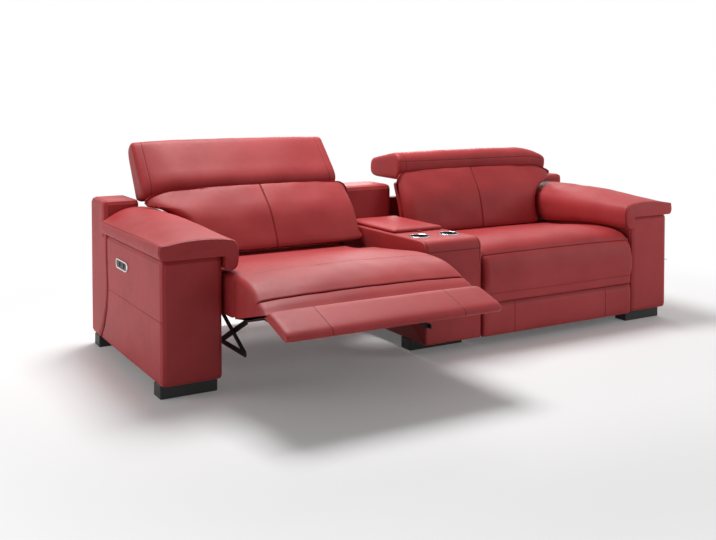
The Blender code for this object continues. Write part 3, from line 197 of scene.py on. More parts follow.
def make_leather(name, deep, light):
    """Clouds of two reds, mixed with the painted shade of the fold by the seam mask, which also takes the
    shine.

    The bump's height is the distance to the edge of a small cell, times a share, plus the wrinkles.
    """
    material, tree, shader, add = new_material(name)
    coordinates = add("ShaderNodeTexCoord").outputs["Object"]
    clouds = scaled_noise(tree, add, coordinates, CLOUD_SCALE, CLOUD_DETAIL)
    base = colour_between(tree, add, clouds, deep, light, *CLOUD_RAMP)
    # The seam mask lays a painted shade into each seam's fold and takes away the shine there.
    seam = add("ShaderNodeAttribute", attribute_name="seam", attribute_type="GEOMETRY")
    fold_shade = add("ShaderNodeMix", data_type="RGBA")
    fold_shade.inputs[7].default_value = (*LEATHER_FOLD_SHADE, 1.0)
    tree.links.new(seam.outputs["Fac"], fold_shade.inputs[0])
    tree.links.new(base, fold_shade.inputs[6])
    tree.links.new(fold_shade.outputs[2], shader.inputs["Base Color"])
    grain = add("ShaderNodeTexVoronoi", feature="DISTANCE_TO_EDGE")
    grain.inputs["Scale"].default_value = GRAIN_SCALE
    tree.links.new(coordinates, grain.inputs["Vector"])
    wrinkles = scaled_noise(tree, add, coordinates, WRINKLE_SCALE, WRINKLE_DETAIL, WRINKLE_ROUGHNESS)
    height = add("ShaderNodeMath", operation="MULTIPLY_ADD")
    height.inputs[1].default_value = GRAIN_HEIGHT_SHARE
    tree.links.new(grain.outputs["Distance"], height.inputs[0])
    tree.links.new(wrinkles, height.inputs[2])
    bumped(tree, add, height.outputs["Value"], shader, GRAIN_STRENGTH, GRAIN_DEPTH)
    gloss_between(tree, add, wrinkles, shader, *LEATHER_GLOSS)
    shine = add("ShaderNodeMapRange")
    shine.inputs["To Min"].default_value = LEATHER_SHINE
    shine.inputs["To Max"].default_value = 0.0
    tree.links.new(seam.outputs["Fac"], shine.inputs["Value"])
    tree.links.new(shine.outputs["Result"], shader.inputs["Specular IOR Level"])
    return material


LEATHER = make_leather("red_leather", LEATHER_DEEP, LEATHER_LIGHT)

# %% [markdown]
# ## Steel, chrome, plastic, cloth and timber
# Small parts are powder coated steel, polished chrome, moulded plastic and black lining cloth. One
# noise varies the colour, gloss and height of each together, which looks more worn in than three
# noises that have nothing to do with each other. Timber is a noise stretched along the boards.

# %% Plain finishes
PLAIN_DETAIL = 5.0
PLAIN_RAMP = (0.3, 0.7)
PLAIN_DEPTH = 0.0004
GLOSSY_SHARE = 0.8  # of a finish's roughness, where it is most polished
DULL_SHARE = 1.25


def make_plain(name, colour, second, roughness, metallic, scale, bump_strength):
    """A finish whose colour and gloss vary a little with a noise, and whose bump follows it."""
    material, tree, shader, add = new_material(name)
    coordinates = add("ShaderNodeTexCoord").outputs["Object"]
    noise = scaled_noise(tree, add, coordinates, scale, PLAIN_DETAIL)
    tint = colour_between(tree, add, noise, colour, second, *PLAIN_RAMP)
    tree.links.new(tint, shader.inputs["Base Color"])
    gloss_between(tree, add, noise, shader, roughness * GLOSSY_SHARE, min(1.0, roughness * DULL_SHARE))
    bumped(tree, add, noise, shader, bump_strength, PLAIN_DEPTH)
    shader.inputs["Metallic"].default_value = metallic
    return material


PLAIN_FINISHES = (  # name, colour, second colour, roughness, metallic, noise scale, bump strength
    ("black_steel", (0.012, 0.012, 0.013), (0.024, 0.024, 0.026), 0.38, 0.5, 240.0, 0.15),
    ("chrome", (0.72, 0.72, 0.74), (0.82, 0.82, 0.84), 0.12, 1.0, 60.0, 0.03),
    ("black_plastic", (0.010, 0.010, 0.011), (0.018, 0.018, 0.019), 0.45, 0.0, 700.0, 0.25),
    ("black_foot", (0.006, 0.006, 0.006), (0.011, 0.011, 0.011), 0.50, 0.0, 120.0, 0.15),
    ("black_lining", (0.010, 0.010, 0.010), (0.022, 0.021, 0.021), 0.85, 0.0, 1400.0, 0.5),
)
STEEL, CHROME, PLASTIC, FOOT_BLACK, LINING = (make_plain(*finish) for finish in PLAIN_FINISHES)

# %% Timber
TIMBER_STRETCH = (3.0, 40.0, 40.0)  # features to the metre along X, Y and Z
TIMBER_DETAIL = 6.0
TIMBER_RAMP = (0.3, 0.75)
TIMBER_GLOSS = (0.6, 0.8)


def make_timber(name, dark, light):
    """Sawn timber: a noise stretched along X by a mapping, as colour and as gloss."""
    material, tree, shader, add = new_material(name)
    coordinates = add("ShaderNodeTexCoord").outputs["Object"]
    mapping = add("ShaderNodeMapping")
    mapping.inputs["Scale"].default_value = TIMBER_STRETCH
    tree.links.new(coordinates, mapping.inputs["Vector"])
    noise = scaled_noise(tree, add, mapping.outputs["Vector"], 1.0, TIMBER_DETAIL)
    tint = colour_between(tree, add, noise, dark, light, *TIMBER_RAMP)
    tree.links.new(tint, shader.inputs["Base Color"])
    gloss_between(tree, add, noise, shader, *TIMBER_GLOSS)
    return material


TIMBER = make_timber("timber", (0.36, 0.22, 0.11), (0.60, 0.43, 0.25))
DARK_TIMBER = make_timber("dark_timber", (0.016, 0.013, 0.011), (0.035, 0.028, 0.024))
print("materials", sorted(material.name for material in bpy.data.materials))

# %% [markdown]
# ## Pieces that keep the frame's own shape
# Covers, feet, tracks and plates already have their shape, so they only take a finish. The seat and
# back frames are stained dark, as the timber under an open seat would otherwise catch the light.

# %% Give each frame node its finish
SLOT_MATERIALS = {
    "red_leather": LEATHER, "timber": TIMBER, "black_steel": STEEL, "chrome": CHROME,
    "black_plastic": PLASTIC,
}
SLOT_OF = {part["node"]: part["material_slot"] for part in frame["record"]["subparts"]}


def finish_of(name):
    """The finish of a frame node: by its name where its slot is too wide, and by its slot otherwise."""
    if name.endswith("_foot"):
        return FOOT_BLACK
    if name.endswith("_switch_plate"):
        return PLASTIC
    if name.endswith(("_seat_frame", "_back_frame")):
        return DARK_TIMBER
    return SLOT_MATERIALS[SLOT_OF[name]]


for node_name, node in frame["nodes"].items():
    node.data.materials.clear()
    node.data.materials.append(finish_of(node_name))
print("finished nodes", len(frame["nodes"]))

# %% [markdown]
# ## Making meshes from arrays
# Every new surface is a block of points on a grid. One helper turns a stack of closed rings into a
# skin with a cap at each end. It works out the signed volume and turns the faces if they point
# inwards, because a mirrored seat would otherwise be inside out. A long narrow end is zipped shut from
# one tip to the other, since a single many-sided face over a bent end would fold on itself.

# %% From rings to a mesh object
SHARP_ANGLE = radians(38)


def mesh_object(name, points, faces, material, smooth=True):
    """An object at the origin whose mesh has the given points and faces, smooth but for its edges."""
    mesh = bpy.data.meshes.new(name)
    mesh.from_pydata(points.tolist(), [], faces)
    mesh.update()
    piece = bpy.data.objects.new(name, mesh)
    bpy.context.collection.objects.link(piece)
    mesh.materials.append(material)
    if smooth:
        mesh.shade_smooth()
        mesh.set_sharp_from_angle(angle=SHARP_ANGLE)
    return piece


def signed_volume(points, triangles):
    """A sixth of the sum of the triangles' triple products."""
    a, b, c = points[triangles[:, 0]], points[triangles[:, 1]], points[triangles[:, 2]]
    return float(np.einsum("ij,ij->i", a, np.cross(b, c)).sum() / 6)


def zipped(points, loop):
    """A cap for a long narrow loop: quads that join its two long sides, from one tip to the other.

    The long way is the first principal axis of the loop's points, and the loop starts at its lowest end.
    """
    spots = points[loop]
    spots = spots - spots.mean(axis=0)
    long_way = np.linalg.svd(spots[:, 1:], full_matrices=False)[2][0]
    loop = np.roll(loop, -int(np.argmin(spots[:, 1:] @ long_way)))
    steps = np.arange(1, (len(loop) - 1) // 2)
    quads = np.stack([loop[steps], loop[steps + 1], loop[-steps - 1], loop[-steps]], axis=-1).tolist()
    last = len(steps) + 1
    return [loop[[0, 1, -1]].tolist()] + quads + [loop[last : len(loop) - last + 1].tolist()]


def ring_skin(name, rings, material, seam=None, zip_caps=False):
    """A closed skin through rings of shape (stations, points, 3), with a cap at each end.

    Each face joins two neighbours on a ring to the same two on the next ring.
    """
    stations, count = rings.shape[:2]
    index = np.arange(stations * count).reshape(stations, count)
    ahead = np.roll(index, -1, axis=1)
    quads = np.stack([index[:-1], ahead[:-1], ahead[1:], index[1:]], axis=-1).reshape(-1, 4)
    points = rings.reshape(-1, 3)
    caps = [index[0][::-1], index[-1]]
    fans = [np.stack([np.full(count - 2, cap[0]), cap[1:-1], cap[2:]], axis=-1) for cap in caps]
    triangles = np.concatenate([quads[:, [0, 1, 2]], quads[:, [0, 2, 3]]] + fans)
    if signed_volume(points - points.mean(axis=0), triangles) < 0:
        quads = quads[:, ::-1]
        caps = [cap[::-1] for cap in caps]
    cap_faces = [cap.tolist() for cap in caps]
    if zip_caps:
        cap_faces = [face for cap in caps for face in zipped(points, cap)]
    piece = mesh_object(name, points, quads.tolist() + cap_faces, material)
    if seam is not None:
        # The seam mask becomes a point attribute that paints shade into each fold of the leather.
        mask = piece.data.attributes.new("seam", "FLOAT", "POINT")
        mask.data.foreach_set("value", seam.reshape(-1).astype(np.float32))
    return piece


def finished(piece, body, replaced=()):
    """Hang a piece from the body that carries it, and hide the frame parts that it stands for."""
    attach(piece, body)
    if replaced:
        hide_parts(*replaced)
    return piece


# %% [markdown]
# ## Outlines
# An upholsterer's template has few points. A cushion's template gets smooth curves between them, and
# a boxed or steel piece gets straight sides with eased corners. Both are then measured out along
# their length. Extra samples crowd round each seam, so that its fold is only a few millimetres wide.

# %% A smooth closed track and a straight sided one
def smooth_track(controls, steps=60):
    """A closed Catmull-Rom curve through rows of controls, each span cut into equal steps."""
    controls = np.asarray(controls, float)
    p0, p1, p2, p3 = (np.roll(controls, 1 - k, axis=0)[:, None, :] for k in range(4))
    t = np.linspace(0, 1, steps, endpoint=False)[None, :, None]
    curve = 2 * p1 + (p2 - p0) * t + (2 * p0 - 5 * p1 + 4 * p2 - p3) * t ** 2
    curve = 0.5 * (curve + (3 * p1 - p0 - 3 * p2 + p3) * t ** 3)
    return curve.reshape(-1, controls.shape[1])


def eased_track(corners, radii, steps=9):
    """A polygon whose corners are parabolas that start and end a radius from the corner."""
    corners = np.asarray(corners, float)
    radii = np.broadcast_to(np.asarray(radii, float), (len(corners),))[:, None]
    back = np.roll(corners, 1, axis=0) - corners
    ahead = np.roll(corners, -1, axis=0) - corners
    start = corners + back / np.linalg.norm(back[:, :2], axis=1, keepdims=True) * radii
    end = corners + ahead / np.linalg.norm(ahead[:, :2], axis=1, keepdims=True) * radii
    t = np.linspace(0, 1, steps)[None, :, None]
    curve = (1 - t) ** 2 * start[:, None] + 2 * t * (1 - t) * corners[:, None] + t ** 2 * end[:, None]
    return curve.reshape(-1, corners.shape[1])


# %% Samples along a track
SEAM_REACH = np.linspace(-2.2, 2.2, 9)  # where samples stand about a seam, in seam widths
SAMPLE_GAP_SHARE = 0.3  # the least gap between samples, as a share of a seam's width
BEND_LIMIT = radians(1.2)  # a point of the track that turns more than this is kept
PLACE_DIGITS = 6
TINY = 0.0004
STILL = 1e-7
ALMOST_NOTHING = 1e-12


def turn_of(track):
    """How far a dense track turns at each of its points: the change of its heading, in radians."""
    step = np.roll(track[:, :2], -1, axis=0) - track[:, :2]
    heading = np.arctan2(step[:, 1], step[:, 0])
    change = np.abs(np.angle(np.exp(1j * (heading - np.roll(heading, 1)))))
    return np.where(np.linalg.norm(step, axis=1) > STILL, change, 0.0)


def outline(track, seams, spacing, seam_width):
    """A closed outline sampled from a dense track, and its seam mask. A seam is (a, b, depth).

    The samples are places along the track's length, even ones, some about each seam, and the bends.
    The mask is the highest of the seams' bells: depth times e to minus the squared distance in widths.
    """
    steps = np.linalg.norm(np.roll(track, -1, axis=0)[:, :2] - track[:, :2], axis=1)
    length = np.concatenate([[0.0], np.cumsum(steps)])
    total = length[-1]
    apart = [np.linalg.norm(track[:, :2] - np.asarray(seam[:2]), axis=1) for seam in seams]
    places = length[[int(np.argmin(distance)) for distance in apart]] if seams else np.empty(0)
    weight = np.array([seam[2] for seam in seams])
    along = [np.linspace(0, total, int(total / spacing), endpoint=False)]
    along += [place + seam_width * deep * SEAM_REACH for place, deep in zip(places, weight)]
    along.append(length[:-1][turn_of(track) > BEND_LIMIT])
    along = np.unique(np.round(np.mod(np.concatenate(along), total), PLACE_DIGITS))
    along = along[np.concatenate([[True], np.diff(along) > seam_width * SAMPLE_GAP_SHARE])]
    closed = np.concatenate([track, track[:1]])
    ring = np.stack([np.interp(along, length, closed[:, k]) for k in range(track.shape[1])], axis=1)
    if not seams:
        return ring, np.zeros(len(along))
    away = np.abs(along[:, None] - places[None, :])
    away = np.minimum(away, total - away)
    return ring, (weight * np.exp(-((away / (seam_width * weight)) ** 2))).max(axis=1)


def outward(ring):
    """Unit normals of a closed outline, pointing away from its inside: its tangents, turned a quarter."""
    tangent = np.roll(ring[:, :2], -1, axis=0) - np.roll(ring[:, :2], 1, axis=0)
    normal = np.stack([tangent[:, 1], -tangent[:, 0]], axis=1)
    normal /= np.linalg.norm(normal, axis=1, keepdims=True) + ALMOST_NOTHING
    x, y = ring[:, 0], ring[:, 1]
    area = 0.5 * np.sum(x * np.roll(y, -1) - np.roll(x, -1) * y)
    return normal if area > 0 else -normal


# %% [markdown]
# ## A cushion
# A cushion is its outline drawn along its length. Near each end the outline is drawn in along a
# quarter circle, which rounds the edge, and between the ends its crown falls away gently. Two more
# numbers at each template point say how much of the crown and of the rounding it takes, so that an
# underside stays flat. Slow waves, a millimetre or so high, keep stretched hide from looking cast.

# %% Stations along a piece, and waves over it
STATION_GAP_SHARE = 0.25  # the least gap between stations, as a share of a mark's width
END_STATIONS = 8
BROAD_WAVES = (24.0, 9.0, 31.0, 17.0, 1.3)  # radians to the metre, and one shift in radians
FINE_WAVES = (52.0, -21.0, 13.0)
FINE_WAVE_SHARE = 0.5


def stations_along(low, high, end_round, marks, spacing, width):
    """Places along a piece: close together in its rounded ends and about every mark."""
    quarter = end_round * (1 - np.cos(np.linspace(0, pi / 2, END_STATIONS)))
    middle = np.linspace(low + end_round, high - end_round, int((high - low) / spacing))
    places = [low + quarter, high - quarter, middle] + [mark + width * SEAM_REACH for mark in marks]
    places = np.unique(np.round(np.concatenate(places), PLACE_DIGITS))
    places = places[(places >= low - TINY) & (places <= high + TINY)]
    keep = np.concatenate([[True], np.diff(places) > width * STATION_GAP_SHARE])
    keep[-1] = True
    return places[keep]


def slow_waves(along, ring):
    """Products of sine waves along and round a piece, each wave 10 to 25 cm long."""
    a, y, z = along[:, None], ring[None, :, 0], ring[None, :, 1]
    first, second, third, fourth, shift = BROAD_WAVES
    broad = np.sin(first * a + second * y) * np.sin(third * z + fourth * y + shift)
    first, second, third = FINE_WAVES
    return broad + FINE_WAVE_SHARE * np.sin(first * a + second * y + third * z)


# %% Ends that close towards a core
CORE_SHARE = 0.9  # how much of the way to its core an end may be drawn in
CLOSING_SHARES = (0.35, 0.70, 1.0)


def towards_core(points, core):
    """Unit ways from points to the nearest place on a segment, and a share of each distance."""
    first, second = np.array(core)
    step = second - first
    share = np.clip((points - first) @ step / (step @ step), 0, 1)
    way = first + share[:, None] * step - points
    distance = np.linalg.norm(way, axis=1)
    return way / distance[:, None], distance * CORE_SHARE


def closed_to_core(rings, mask, deepest):
    """Add rings at each end that go from the last one towards the deepest outline, for a small cap."""
    steps = np.array(CLOSING_SHARES)[:, None, None]
    ends = []
    for end in (rings[0], rings[-1]):
        target = np.column_stack([end[:, 0], deepest])
        ends.append(end + steps * (target - end))
    plain = np.zeros((len(CLOSING_SHARES), mask.shape[1]))
    return np.concatenate([ends[0][::-1], rings, ends[1]]), np.concatenate([plain, mask, plain])


# %% Draw an outline along its length
SPACING = 0.012
STATION_STRETCH = 1.4  # stations stand this much wider apart than samples
SEAM_WIDTH = 0.0022
GROOVE = 0.0013
CROWN_POWER = 2.6
SEAM_FADE_POWER = 0.2
# How strong the painted shade in a seam's fold is.
SEAM_SHADE_SHARE = 0.60  # how far a seam's fold goes towards its darkest colour
FAR_AWAY = 1e3


def cushion_rings(track, low, high, end_round, crown=0.0, ring_seams=(), cross_seams=(), marks=(),
                  seam_on=None, spacing=SPACING, groove=GROOVE, seam_width=SEAM_WIDTH, waves=0.0,
                  core=None):
    """Rings of (along, a, b) and their seam mask, from a track of (a, b, crown share, round share) rows.

    Near an end the outline is drawn in by the end's radius, less the root of one minus the square of
    how far into the end a station is. The crown falls with a power of the distance from the middle.
    """
    ring, ring_mask = outline(track, ring_seams, spacing, seam_width)
    normal = outward(ring)
    crossings = np.array(cross_seams or ((FAR_AWAY, 1.0),))
    along = stations_along(
        low, high, end_round, (*crossings[:, 0], *marks), spacing * STATION_STRETCH, seam_width,
    )
    middle, half = (low + high) / 2, (high - low) / 2
    part = np.clip(1 - (half - np.abs(along - middle)) / end_round, 0.0, 1.0)
    drawn = end_round * (1 - np.sqrt(1 - part ** 2))
    fall = crown * (np.abs(along - middle) / half) ** CROWN_POWER
    away = np.abs(along[:, None] - crossings[None, :, 0])
    cross_mask = (crossings[:, 1] * np.exp(-((away / seam_width) ** 2))).max(axis=1)
    on = np.ones(len(ring)) if seam_on is None else seam_on(ring[:, 0], ring[:, 1]).astype(float)
    ring_mask = ring_mask[None, :] * (1 - part[:, None]) ** SEAM_FADE_POWER
    mask = np.maximum(ring_mask, cross_mask[:, None] * on[None, :])
    pull = drawn[:, None] * ring[None, :, 3]
    inset = fall[:, None] * ring[None, :, 2] + groove * mask
    inset = inset + waves * slow_waves(along, ring) * ring[None, :, 2] * (1 - part[:, None])
    way, limit = -normal, np.full(len(ring), FAR_AWAY)
    if core is not None:
        way, limit = towards_core(ring[:, :2], core)
    rings = np.empty((len(along), len(ring), 3))
    rings[:, :, 0] = along[:, None]
    rings[:, :, 1:] = ring[None, :, :2] - normal[None, :, :] * inset[:, :, None]
    rings[:, :, 1:] += way[None, :, :] * np.minimum(pull, limit[None, :])[:, :, None]
    if core is not None:
        rings, mask = closed_to_core(rings, mask, ring[:, :2] + way * limit[:, None])
    # The groove used the full mask; scaled down, the mask becomes the painted shade of the folds.
    return rings, mask * SEAM_SHADE_SHARE


# %% [markdown]
# ## Seats that are open or closed
# The backs, headrests, linings and bars of both seats are drawn closed, from the same templates. A
# seat that stands open at rest is then moved there by its own joints: the lower end of a joint's
# range says how far it is from closed.

# %% Carry a closed template to the seat's resting place
def opened_by(name):
    """How far a joint stands from closed at rest: its range's lower end, in metres or radians."""
    joint = JOINTS[name]
    if "range_m" in joint:
        return -min(joint["range_m"])
    return radians(-min(joint["range_deg"]))


def turned(points, centre, angle):
    """Points (x, y, z) turned about an X axis through (y, z): y cos - z sin, and y sin + z cos."""
    y, z = points[..., 1] - centre[0], points[..., 2] - centre[1]
    result = points.copy()
    result[..., 1] = centre[0] + y * cos(angle) - z * sin(angle)
    result[..., 2] = centre[1] + y * sin(angle) + z * cos(angle)
    return result


def to_rest(points, word, body):
    """Closed points, in frame coordinates, carried to where the named body of a seat stands."""
    slide = opened_by(word + "_carriage_slide")
    result = points.copy()
    if body in ("seat", "legrest"):
        slide += opened_by(word + "_seat_slide")
    result[..., 1] -= slide
    if body == "legrest":
        centre = JOINTS[word + "_legrest_hinge"]["pos_m"][1:]
        result = turned(result, centre, -opened_by(word + "_legrest_hinge"))
    if body in ("back", "headrest"):
        centre = JOINTS[word + "_back_hinge"]["pos_m"][1:]
        result = turned(result, centre, -opened_by(word + "_back_hinge"))
    if body == "headrest":
        centre = JOINTS[word + "_headrest_hinge"]["pos_m"][1:]
        result = turned(result, centre, opened_by(word + "_headrest_hinge"))
    return result


def seat_points(rings, word, sign, body):
    """Rings drawn along X from the sofa's middle, mirrored for the left seat and carried to rest."""
    points = rings.copy()
    points[:, :, 0] *= sign
    points[:, :, 1] += FRONT_Y
    return to_rest(points, word, body)


# %% [markdown]
# ## Seat and legrest in one cover
# The hide runs over the seat's nose and on down the leg panel, so one mesh covers both. The closed
# seat's outline turns down at the nose and ends in the lower flap. The open seat's outline runs out
# flat to the flap's tip.

# %% Templates of the closed and the open seat, as (y, z, crown share, round share)
CLOSED_SEAT = [
    (0.740, 0.398, 0.0, 0.2), (0.660, 0.4035, 0.1, 0.3), (0.555, 0.4105, 0.2, 0.6),
    (0.460, 0.423, 0.9, 1.0), (0.340, 0.438, 1.0, 1.0), (0.200, 0.4505, 1.0, 1.0),
    (0.110, 0.4500, 1.0, 1.0), (0.050, 0.440, 1.0, 1.0), (0.015, 0.421, 1.0, 1.0),
    (-0.001, 0.398, 0.8, 0.9), (-0.013, 0.378, 0.6, 0.9), (-0.023, 0.345, 0.5, 0.8),
    (-0.029, 0.300, 0.5, 0.8), (-0.026, 0.262, 0.4, 0.7), (-0.016, 0.230, 0.3, 0.6),
    (-0.013, 0.212, 0.3, 0.5), (-0.010, 0.194, 0.1, 0.4), (0.002, 0.1875, 0.0, 0.2),
    (-0.004, 0.181, 0.0, 0.25), (-0.009, 0.150, 0.0, 0.3), (-0.009, 0.090, 0.0, 0.3),
    (-0.006, 0.056, 0.0, 0.25), (0.003, 0.0495, 0.0, 0.15), (0.0172, 0.054, 0.0, 0.0),
    (0.0174, 0.150, 0.0, 0.0), (0.0174, 0.260, 0.0, 0.0), (0.0174, 0.350, 0.0, 0.0),
    (0.020, 0.402, 0.0, 0.0), (0.060, 0.408, 0.0, 0.0), (0.107, 0.404, 0.0, 0.0),
    (0.1125, 0.370, 0.0, 0.0), (0.116, 0.335, 0.0, 0.0), (0.220, 0.3306, 0.0, 0.0),
    (0.400, 0.3306, 0.0, 0.0), (0.552, 0.3306, 0.0, 0.0), (0.566, 0.346, 0.0, 0.0),
    (0.640, 0.352, 0.0, 0.0), (0.736, 0.356, 0.0, 0.0),
]
OPEN_SEAT = [
    (0.540, 0.398, 0.0, 0.2), (0.460, 0.4035, 0.1, 0.3), (0.355, 0.4105, 0.2, 0.6),
    (0.260, 0.426, 0.9, 1.0), (0.140, 0.440, 1.0, 1.0), (0.020, 0.4505, 1.0, 1.0),
    (-0.085, 0.4500, 1.0, 1.0), (-0.170, 0.440, 1.0, 1.0), (-0.235, 0.419, 1.0, 0.8),
    (-0.280, 0.393, 0.8, 0.5), (-0.310, 0.378, 0.6, 0.4), (-0.334, 0.361, 0.4, 0.3),
    (-0.343, 0.3585, 0.3, 0.3), (-0.350, 0.3645, 0.2, 0.3), (-0.368, 0.3675, 0.2, 0.3),
    (-0.410, 0.355, 0.1, 0.3), (-0.460, 0.3385, 0.1, 0.3), (-0.490, 0.326, 0.0, 0.3),
    (-0.503, 0.313, 0.0, 0.3), (-0.499, 0.298, 0.0, 0.2), (-0.480, 0.2985, 0.0, 0.0),
    (-0.420, 0.3162, 0.0, 0.0), (-0.340, 0.3393, 0.0, 0.0), (-0.260, 0.3623, 0.0, 0.0),
    (-0.200, 0.3795, 0.0, 0.0), (-0.185, 0.396, 0.0, 0.0), (-0.140, 0.408, 0.0, 0.0),
    (-0.093, 0.404, 0.0, 0.0), (-0.0875, 0.370, 0.0, 0.0), (-0.084, 0.335, 0.0, 0.0),
    (0.020, 0.3306, 0.0, 0.0), (0.200, 0.3306, 0.0, 0.0), (0.352, 0.3306, 0.0, 0.0),
    (0.366, 0.346, 0.0, 0.0), (0.440, 0.352, 0.0, 0.0), (0.536, 0.356, 0.0, 0.0),
]
CLOSED_SEAMS = ((-0.001, 0.398, 1.2), (-0.016, 0.230, 0.8), (0.002, 0.1875, 1.8))
OPEN_SEAMS = ((-0.085, 0.450, 0.8), (-0.280, 0.393, 2.0), (-0.343, 0.3585, 1.5))

# %% Measures of the seat covers
SEAT_END_ROUND = 0.024
SEAT_CROWN = 0.014
SEAT_WAVES = 0.0011
FLAP_SEAM_OFFSET = 0.265  # the flap's upright seams, out from the seat's middle
FLAP_TOP = 0.186
FLAP_REAR = 0.010
FLAP_ROOT = -0.346
FRAME_SIDE = 0.4015
TAIL_HALF = 0.340  # beside this the tail is cut away for the back's legs
TAIL_LAP = 0.004
TAIL_DEPTH_SHARE = 0.02
TAIL_LENGTH = 0.2
UNDER_LEVEL = 0.36  # below this the cover's sides hang down over the frame
UNDER_EASE = 0.03
FRONT_LAP = 0.006
COVER_SIDE_DROP = 0.047
# The lower edge of the open seat's sides, and how far below its top they start
SIDE_EDGE = ((-0.310, 0.3450), (-0.280, 0.3300), (-0.200, 0.3050), (-0.084, 0.2860))
SIDE_START = 0.030
OPEN_TOP_ROWS = slice(6, 13)


def on_closed_flap(y, z):
    """Where the flap's upright seams show on a closed seat: on its front, below the level seam."""
    return (z < FLAP_TOP) & (y < FLAP_REAR)


def on_open_flap(y, z):
    """Where the flap's upright seams show on an open seat: beyond its root."""
    return y < FLAP_ROOT


SEAT_STATES = {  # is it open: template, seams, where the flap is, rear and front of the base, the fold
    False: (CLOSED_SEAT, CLOSED_SEAMS, on_closed_flap, 0.56, 0.1125, (0.050, 0.445), (-0.0074, 0.4106)),
    True: (OPEN_SEAT, OPEN_SEAMS, on_open_flap, 0.36, -0.085, (-0.175, 0.40), (-0.262, 0.40)),
}

# %% Make the two seat covers

def seat_cover(word, sign):
    """A cushion's rings between both sides, whose tail is pressed flat at the back's legs.

    Beside the frame, points below a level drop by a share that grows to one over the ease. On an open
    seat, points a little below the top drop to the side's edge line.
    """
    is_open = opened_by(word + "_carriage_slide") > 0
    template, seams, on_flap, back_line, front_line, fold_start, fold_end = SEAT_STATES[is_open]
    rings, mask = cushion_rings(
        smooth_track(template), -SEAT_HALF, SEAT_HALF, SEAT_END_ROUND, SEAT_CROWN, seams,
        ((-FLAP_SEAM_OFFSET, 1.0), (FLAP_SEAM_OFFSET, 1.0)), (-FRAME_SIDE, FRAME_SIDE),
        seam_on=on_flap, waves=SEAT_WAVES,
    )
    beside = np.abs(rings[:, :, 0]) > FRAME_SIDE
    y, z = rings[:, :, 1], rings[:, :, 2]
    tail_line = back_line - TAIL_LAP
    tail = (np.abs(rings[:, :, 0]) > TAIL_HALF) & (y > tail_line)
    rings[:, :, 1] = np.where(tail, tail_line + (y - tail_line) * TAIL_DEPTH_SHARE, y)
    under = beside & (z < UNDER_LEVEL) & (y > front_line - FRONT_LAP) & (y < back_line + TAIL_LENGTH)
    drop = COVER_SIDE_DROP * np.clip((UNDER_LEVEL - z) / UNDER_EASE, 0, 1)
    rings[:, :, 2] = np.where(under, z - drop, z)
    if is_open:
        edge_y, edge_z = np.array(SIDE_EDGE).T
        top_y, top_z = np.array([row[:2] for row in OPEN_SEAT[OPEN_TOP_ROWS]])[::-1].T
        below = beside & (z < np.interp(y, top_y, top_z) - SIDE_START) & (y > edge_y[0]) & (y < edge_y[-1])
        rings[:, :, 2] = np.where(below, np.minimum(z, np.interp(y, edge_y, edge_z)), z)
    points = rings.copy()
    points[:, :, 0] = sign * (SEAT_MIDDLE + rings[:, :, 0])
    points[:, :, 1] += FRONT_Y
    piece = ring_skin(word + "_seat_cover", points, LEATHER, mask)
    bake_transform(piece)
    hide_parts(word + "_seat_cushion", word + "_legrest_cushion")
    return piece


for seat_word, seat_sign in SIDES:
    cover = seat_cover(seat_word, seat_sign)
    print(cover.name, len(cover.data.vertices), "points")

# %% [markdown]
# ## The back cushions
# The back cushion leans on its board and is fullest in the middle, with one seam down it. Its
# console end is rounded well back. Its outer end is narrow beside the arm pad and spreads over the
# pad at the shoulder. The shoulder's underside follows the pad's own curve, tilted by the recline, so
# that the cushion lies on the pad when the seat is open and clears it on the way.

# %% Make the back cushions
BACK_TEMPLATE = [
    (0.558, 0.4145, 0.2, 0.8), (0.5555, 0.440, 0.8, 0.9), (0.561, 0.4743, 1.0, 1.0),
    (0.569, 0.515, 1.0, 1.0), (0.581, 0.562, 1.0, 1.0), (0.598, 0.602, 1.0, 1.0),
    (0.619, 0.638, 1.0, 1.0), (0.638, 0.668, 1.0, 1.0), (0.655, 0.693, 0.9, 1.0),
    (0.667, 0.7045, 0.6, 0.9), (0.6750, 0.6950, 0.3, 0.8), (0.6838, 0.672, 0.0, 0.8),
    (0.7005, 0.6535, 0.0, 0.8), (0.7180, 0.6435, 0.0, 0.8), (0.7280, 0.629, 0.0, 0.8),
    (0.691, 0.532, 0.0, 0.8), (0.6480, 0.4215, 0.0, 0.7), (0.625, 0.4155, 0.0, 0.7),
    (0.590, 0.4135, 0.0, 0.8),
]
BACK_INNER = CONSOLE_HALF + 0.006
BACK_OUTER = 0.956
BACK_END_ROUND = 0.046
BACK_CORE = ((0.612, 0.460), (0.671, 0.640))
BACK_CROWN = 0.012
BACK_WAVES = 0.0013
BACK_GROOVE = 0.0035
BACK_SEAM_WIDTH = 0.0032
BACK_SPACING = 0.010
BACK_HINGE = (0.62, 0.33)
RECLINE = radians(15.6)
SHOULDER = (  # height above the hinge's level in the open seat, and how far out the cushion reaches there
    (0.500, 0.956), (0.540, 0.960), (0.573, 0.980), (0.5995, 1.020), (0.6145, 1.056), (0.6195, 1.088),
    (0.634, 1.103), (0.650, 1.102), (0.665, 1.088), (0.678, 1.066), (0.690, 1.035), (0.700, 1.000),
)
SHOULDER_TILT = sin(RECLINE) / cos(RECLINE)
SHOULDER_POWER = 2.4
SHOULDER_HOLLOW = (0.003, 0.013, 0.034)  # how far the outer end's face sinks in towards its middle


